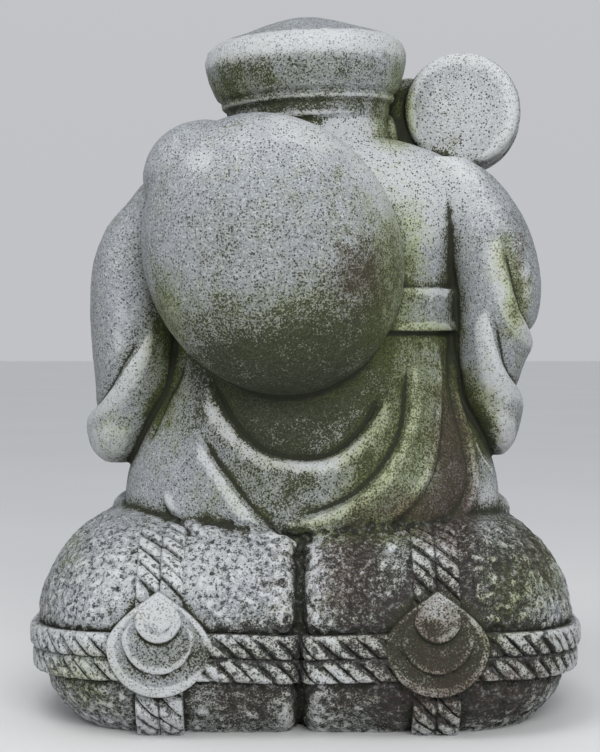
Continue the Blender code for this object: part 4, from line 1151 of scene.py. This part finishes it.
def weatheredAndShadedGranite():
    made = bpy.data.materials.new("weathered and shaded granite")
    f = Finish(made)
    place = f.node("TexCoord", {}, {}, "Object")
    pale, green, dark, brown = f.channels("stains")
    hidden, under, coarse, _ = f.channels("wear")
    near, wide, _, _ = f.channels("hollows")

    # where the stone is darkened: thick growth, and painted shade, in sheltered places, on undersides, in
    # hollows and lines, but not on crests
    blots = f.speckle(place, granite["blots"], 4.0, 0.65)
    cloud = f.speckle(place, granite["cloud"], 4.0, 0.6)
    patches = f.speckle(place, granite["patches"], 5.0, 0.62)
    drift = f.speckle(place, granite["drift"], 3.0, 0.5)
    # line and scoop darken small and wide hollows, as painted shade and as dirt; crest keeps crests light,
    # partly as a painted highlight
    line = ((near - 0.4) * 0.7).clamped()
    scoop = ((wide - 0.6) * 0.30).clamped()
    crest = ((near + 0.35) * -1.8).clamped() + ((wide + 1.6) * -0.3).clamped()
    patchy = (patches - 0.5) * 1.7 + (blots - 0.5) * 1.3
    # painted shade: darker where stone stands over a point and where the surface faces down
    shade = hidden * 0.25 + under * 0.15
    growthAndShade = dark.least(1.2) + shade + scoop * 0.8 + line * 0.8 - crest * 0.55 - pale * 0.2

    # the grain of the stone, with small dark crystals in it
    _, grain = f.cells(place, granite["grainSize"])
    fine = f.speckle(place, granite["fine"], 1.0, 0.6)
    crystals = f.node("ValToRGB", {"stops": granite["grains"]}, {0: (grain + fine * 0.4 - 0.2).clamped()})
    tone = (0.54 + cloud * 0.36 + drift * 0.34).clamped()
    body = f.mix(1.0, crystals, f.node("CombineColor", {}, {0: tone, 1: tone, 2: tone}), "MULTIPLY")
    gap, kind = f.cells(place, granite["dotSpacing"])
    size = kind * 0.26 + 0.15 + growthAndShade.clamped() * 0.08 + (blots - 0.5) * 0.3
    dots = (size - gap).between(0.0, 0.05)

    # growth lies over the stone as a thin film, and over that as specks that close up where it is thick; film
    # and specks also deepen where shade is painted
    specks = f.speckle(place, granite["specks"], 2.0, 0.6)
    others = f.speckle(place, granite["otherSpecks"], 2.0, 0.6)
    broken = (specks - 0.5) * 4.2
    other = (others - 0.5) * 2.6 + (cloud - 0.5) * 1.6
    filmAndShade = (growthAndShade * 0.9 + patchy * 0.55 - pale * 0.25 + 0.16).clamped()
    closing = patchy * (growthAndShade * 2.2 + 0.1).clamped() * 1.2
    darkMask = (growthAndShade * 0.95 + broken * 0.9 + closing).between(0.52, 0.76) * 0.94
    greenMask = (green.least(1.0) + hidden * 0.15 + other * 0.30 + patchy * 0.5).between(0.05, 0.9)
    mossMask = (green.least(1.0) * 0.8 + broken * 0.7 + patchy * 0.9 + scoop * 0.6).between(0.55, 0.95) * 0.8
    brownMask = (brown.least(1.0) + other * 0.30 + patchy * 0.6).between(0.15, 0.85)
    brownSpecks = (brown.least(1.0) * 0.9 + broken + patchy * 0.5).between(0.50, 0.90) * 0.85
    paleMask = (pale - growthAndShade * 0.4 + other * 0.4).between(0.35, 1.15) * 0.55
    crestMask = (crest * 1.4 + (others - 0.5) * 0.5 - dark * 0.25).between(0.10, 0.9) * 0.65

    colour = f.mix(paleMask, body, granite["pale"])
    # crests lightened to pale: partly clean stone, partly a painted highlight
    colour = f.mix(crestMask, colour, granite["pale"])
    colour = f.mix(dots * (0.86 - crestMask * 0.6), colour, granite["dot"])
    colour = f.mix(filmAndShade * 0.9, colour, granite["filmAndShade"], "MULTIPLY")
    colour = f.mix(greenMask * 0.8, colour, granite["greenFilm"], "MULTIPLY")
    colour = f.mix(brownMask * 0.9, colour, granite["brownFilm"], "MULTIPLY")
    growth = f.mix(coarse, granite["darkAlgae"], granite["lichen"])
    growth = f.mix(grain.between(0.55, 1.0) * 0.2, growth, granite["driedGrowth"])
    colour = f.mix(darkMask, colour, growth)
    colour = f.mix(mossMask, colour, f.mix(others.between(0.35, 0.65), granite["moss"], granite["darkAlgae"]))
    colour = f.mix(brownSpecks, colour, granite["brown"])
    # painted shade and grime: lines, hollows and sheltered places darkened
    shadeAndGrimeMask = (line * 1.5 + scoop * 0.15 + hidden * 0.40 + broken * 0.25).between(0.50, 1.05) * 0.92
    colour = f.mix(shadeAndGrimeMask, colour, granite["shadeAndGrime"])

    # the bales are picked coarse: dark pits between bright points
    pits = f.speckle(place, granite["pits"], 3.0, 0.7)
    picked = coarse.between(0.2, 0.9)
    colour = f.mix(pits.between(0.54, 0.63) * picked * 0.80, colour, granite["pit"])
    colour = f.mix(pits.between(0.46, 0.36) * picked * 0.45 * (1 - darkMask * 0.7), colour, granite["pale"])

    dents = pits.between(0.52, 0.70) * (0.15 + coarse) * 1.6
    relief = grain * 0.22 + fine * 0.35 + specks * 0.45 - dots * 0.3 - dents
    bump = {"Strength": 0.8, "Distance": granite["relief"], "Height": relief}
    normal = f.node("Bump", {}, bump, "Normal")
    gloss = (0.93 - grain * 0.10 - greenMask * 0.06).clamped()
    f.feed(Base_Color=colour, Roughness=gloss, Normal=normal, Specular_IOR_Level=0.3)
    return made


def paleFloor():
    made = bpy.data.materials.new("pale floor")
    f = Finish(made)
    place = f.node("TexCoord", {}, {}, "Object")
    cloud = f.speckle(place, 400, 4.0, 0.5)
    f.feed(Base_Color=f.mix(cloud, (0.70, 0.70, 0.69), (0.76, 0.76, 0.75)), Roughness=0.85)
    return made


statue.data.materials.clear()
statue.data.materials.append(weatheredAndShadedGranite())
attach(statue, "root")
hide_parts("statue")
print("granite finished")

studio = {
    "floorHalf": 12.0,
    "overhead": {"place": (0.45, 0.75, 1.65), "aim": (0, 0.05, 0.2), "size": 0.9, "power": 8},
    "front": {"place": (-0.3, 1.6, 0.95), "aim": (0, 0, 0.28), "size": 0.9, "power": 17},
    "horizon": (0.53, 0.54, 0.56),
    "zenith": (0.62, 0.64, 0.68),
}


def makeFloor():
    bm = bmesh.new()
    bmesh.ops.create_grid(bm, x_segments=1, y_segments=1, size=studio["floorHalf"])
    made = newObject("floor", finishedMesh("floor", bm), bpy.context.scene.collection)
    made.location.z = stoneLow.z
    made.data.materials.append(paleFloor())


def makeLamp(name):
    spec = studio[name]
    lamp = bpy.data.lights.new(name, "AREA")
    lamp.shape = "DISK"
    lamp.size, lamp.energy = spec["size"], spec["power"]
    made = newObject(name, lamp, bpy.context.scene.collection)
    made.location = spec["place"]
    made.rotation_euler = (Vector(spec["aim"]) - made.location).to_track_quat("-Z", "Y").to_euler()


def lightStudio():
    makeFloor()
    makeLamp("overhead")
    makeLamp("front")
    world = bpy.data.worlds.new("studio")
    sky = Finish(world)
    way = sky.node("TexCoord", {}, {}, "Generated")
    height = sky.node("SeparateXYZ", {}, {0: way}, 2)
    sky.feed(Color=sky.mix(height.between(0.02, 0.9), studio["horizon"], studio["zenith"]), Strength=1.0)
    bpy.context.scene.world = world
    bpy.context.scene.view_settings.view_transform = "Standard"


# The photograph's frame and its horizon are in pixels, and so is the focal length; distance and level are
# in steps, and the sensor in mm
view = {"wide": 600, "high": 752, "horizon": 326, "focal": 1880, "distance": 1248, "level": 248, "sensor": 24}


def placeCamera():
    data = bpy.data.cameras.new("camera")
    made = newObject("camera", data, bpy.context.scene.collection)
    data.sensor_fit = "VERTICAL"
    data.sensor_height = view["sensor"]
    data.lens = view["sensor"] * view["focal"] / view["high"]
    data.shift_y = -(view["high"] / 2 - view["horizon"]) / view["high"]
    made.location = (settled.x, settled.y + view["distance"] * step, view["level"] * step)
    made.rotation_euler = (math.radians(90), 0, math.radians(180))
    bpy.context.scene.camera = made


lightStudio()
placeCamera()
print("studio and camera placed")
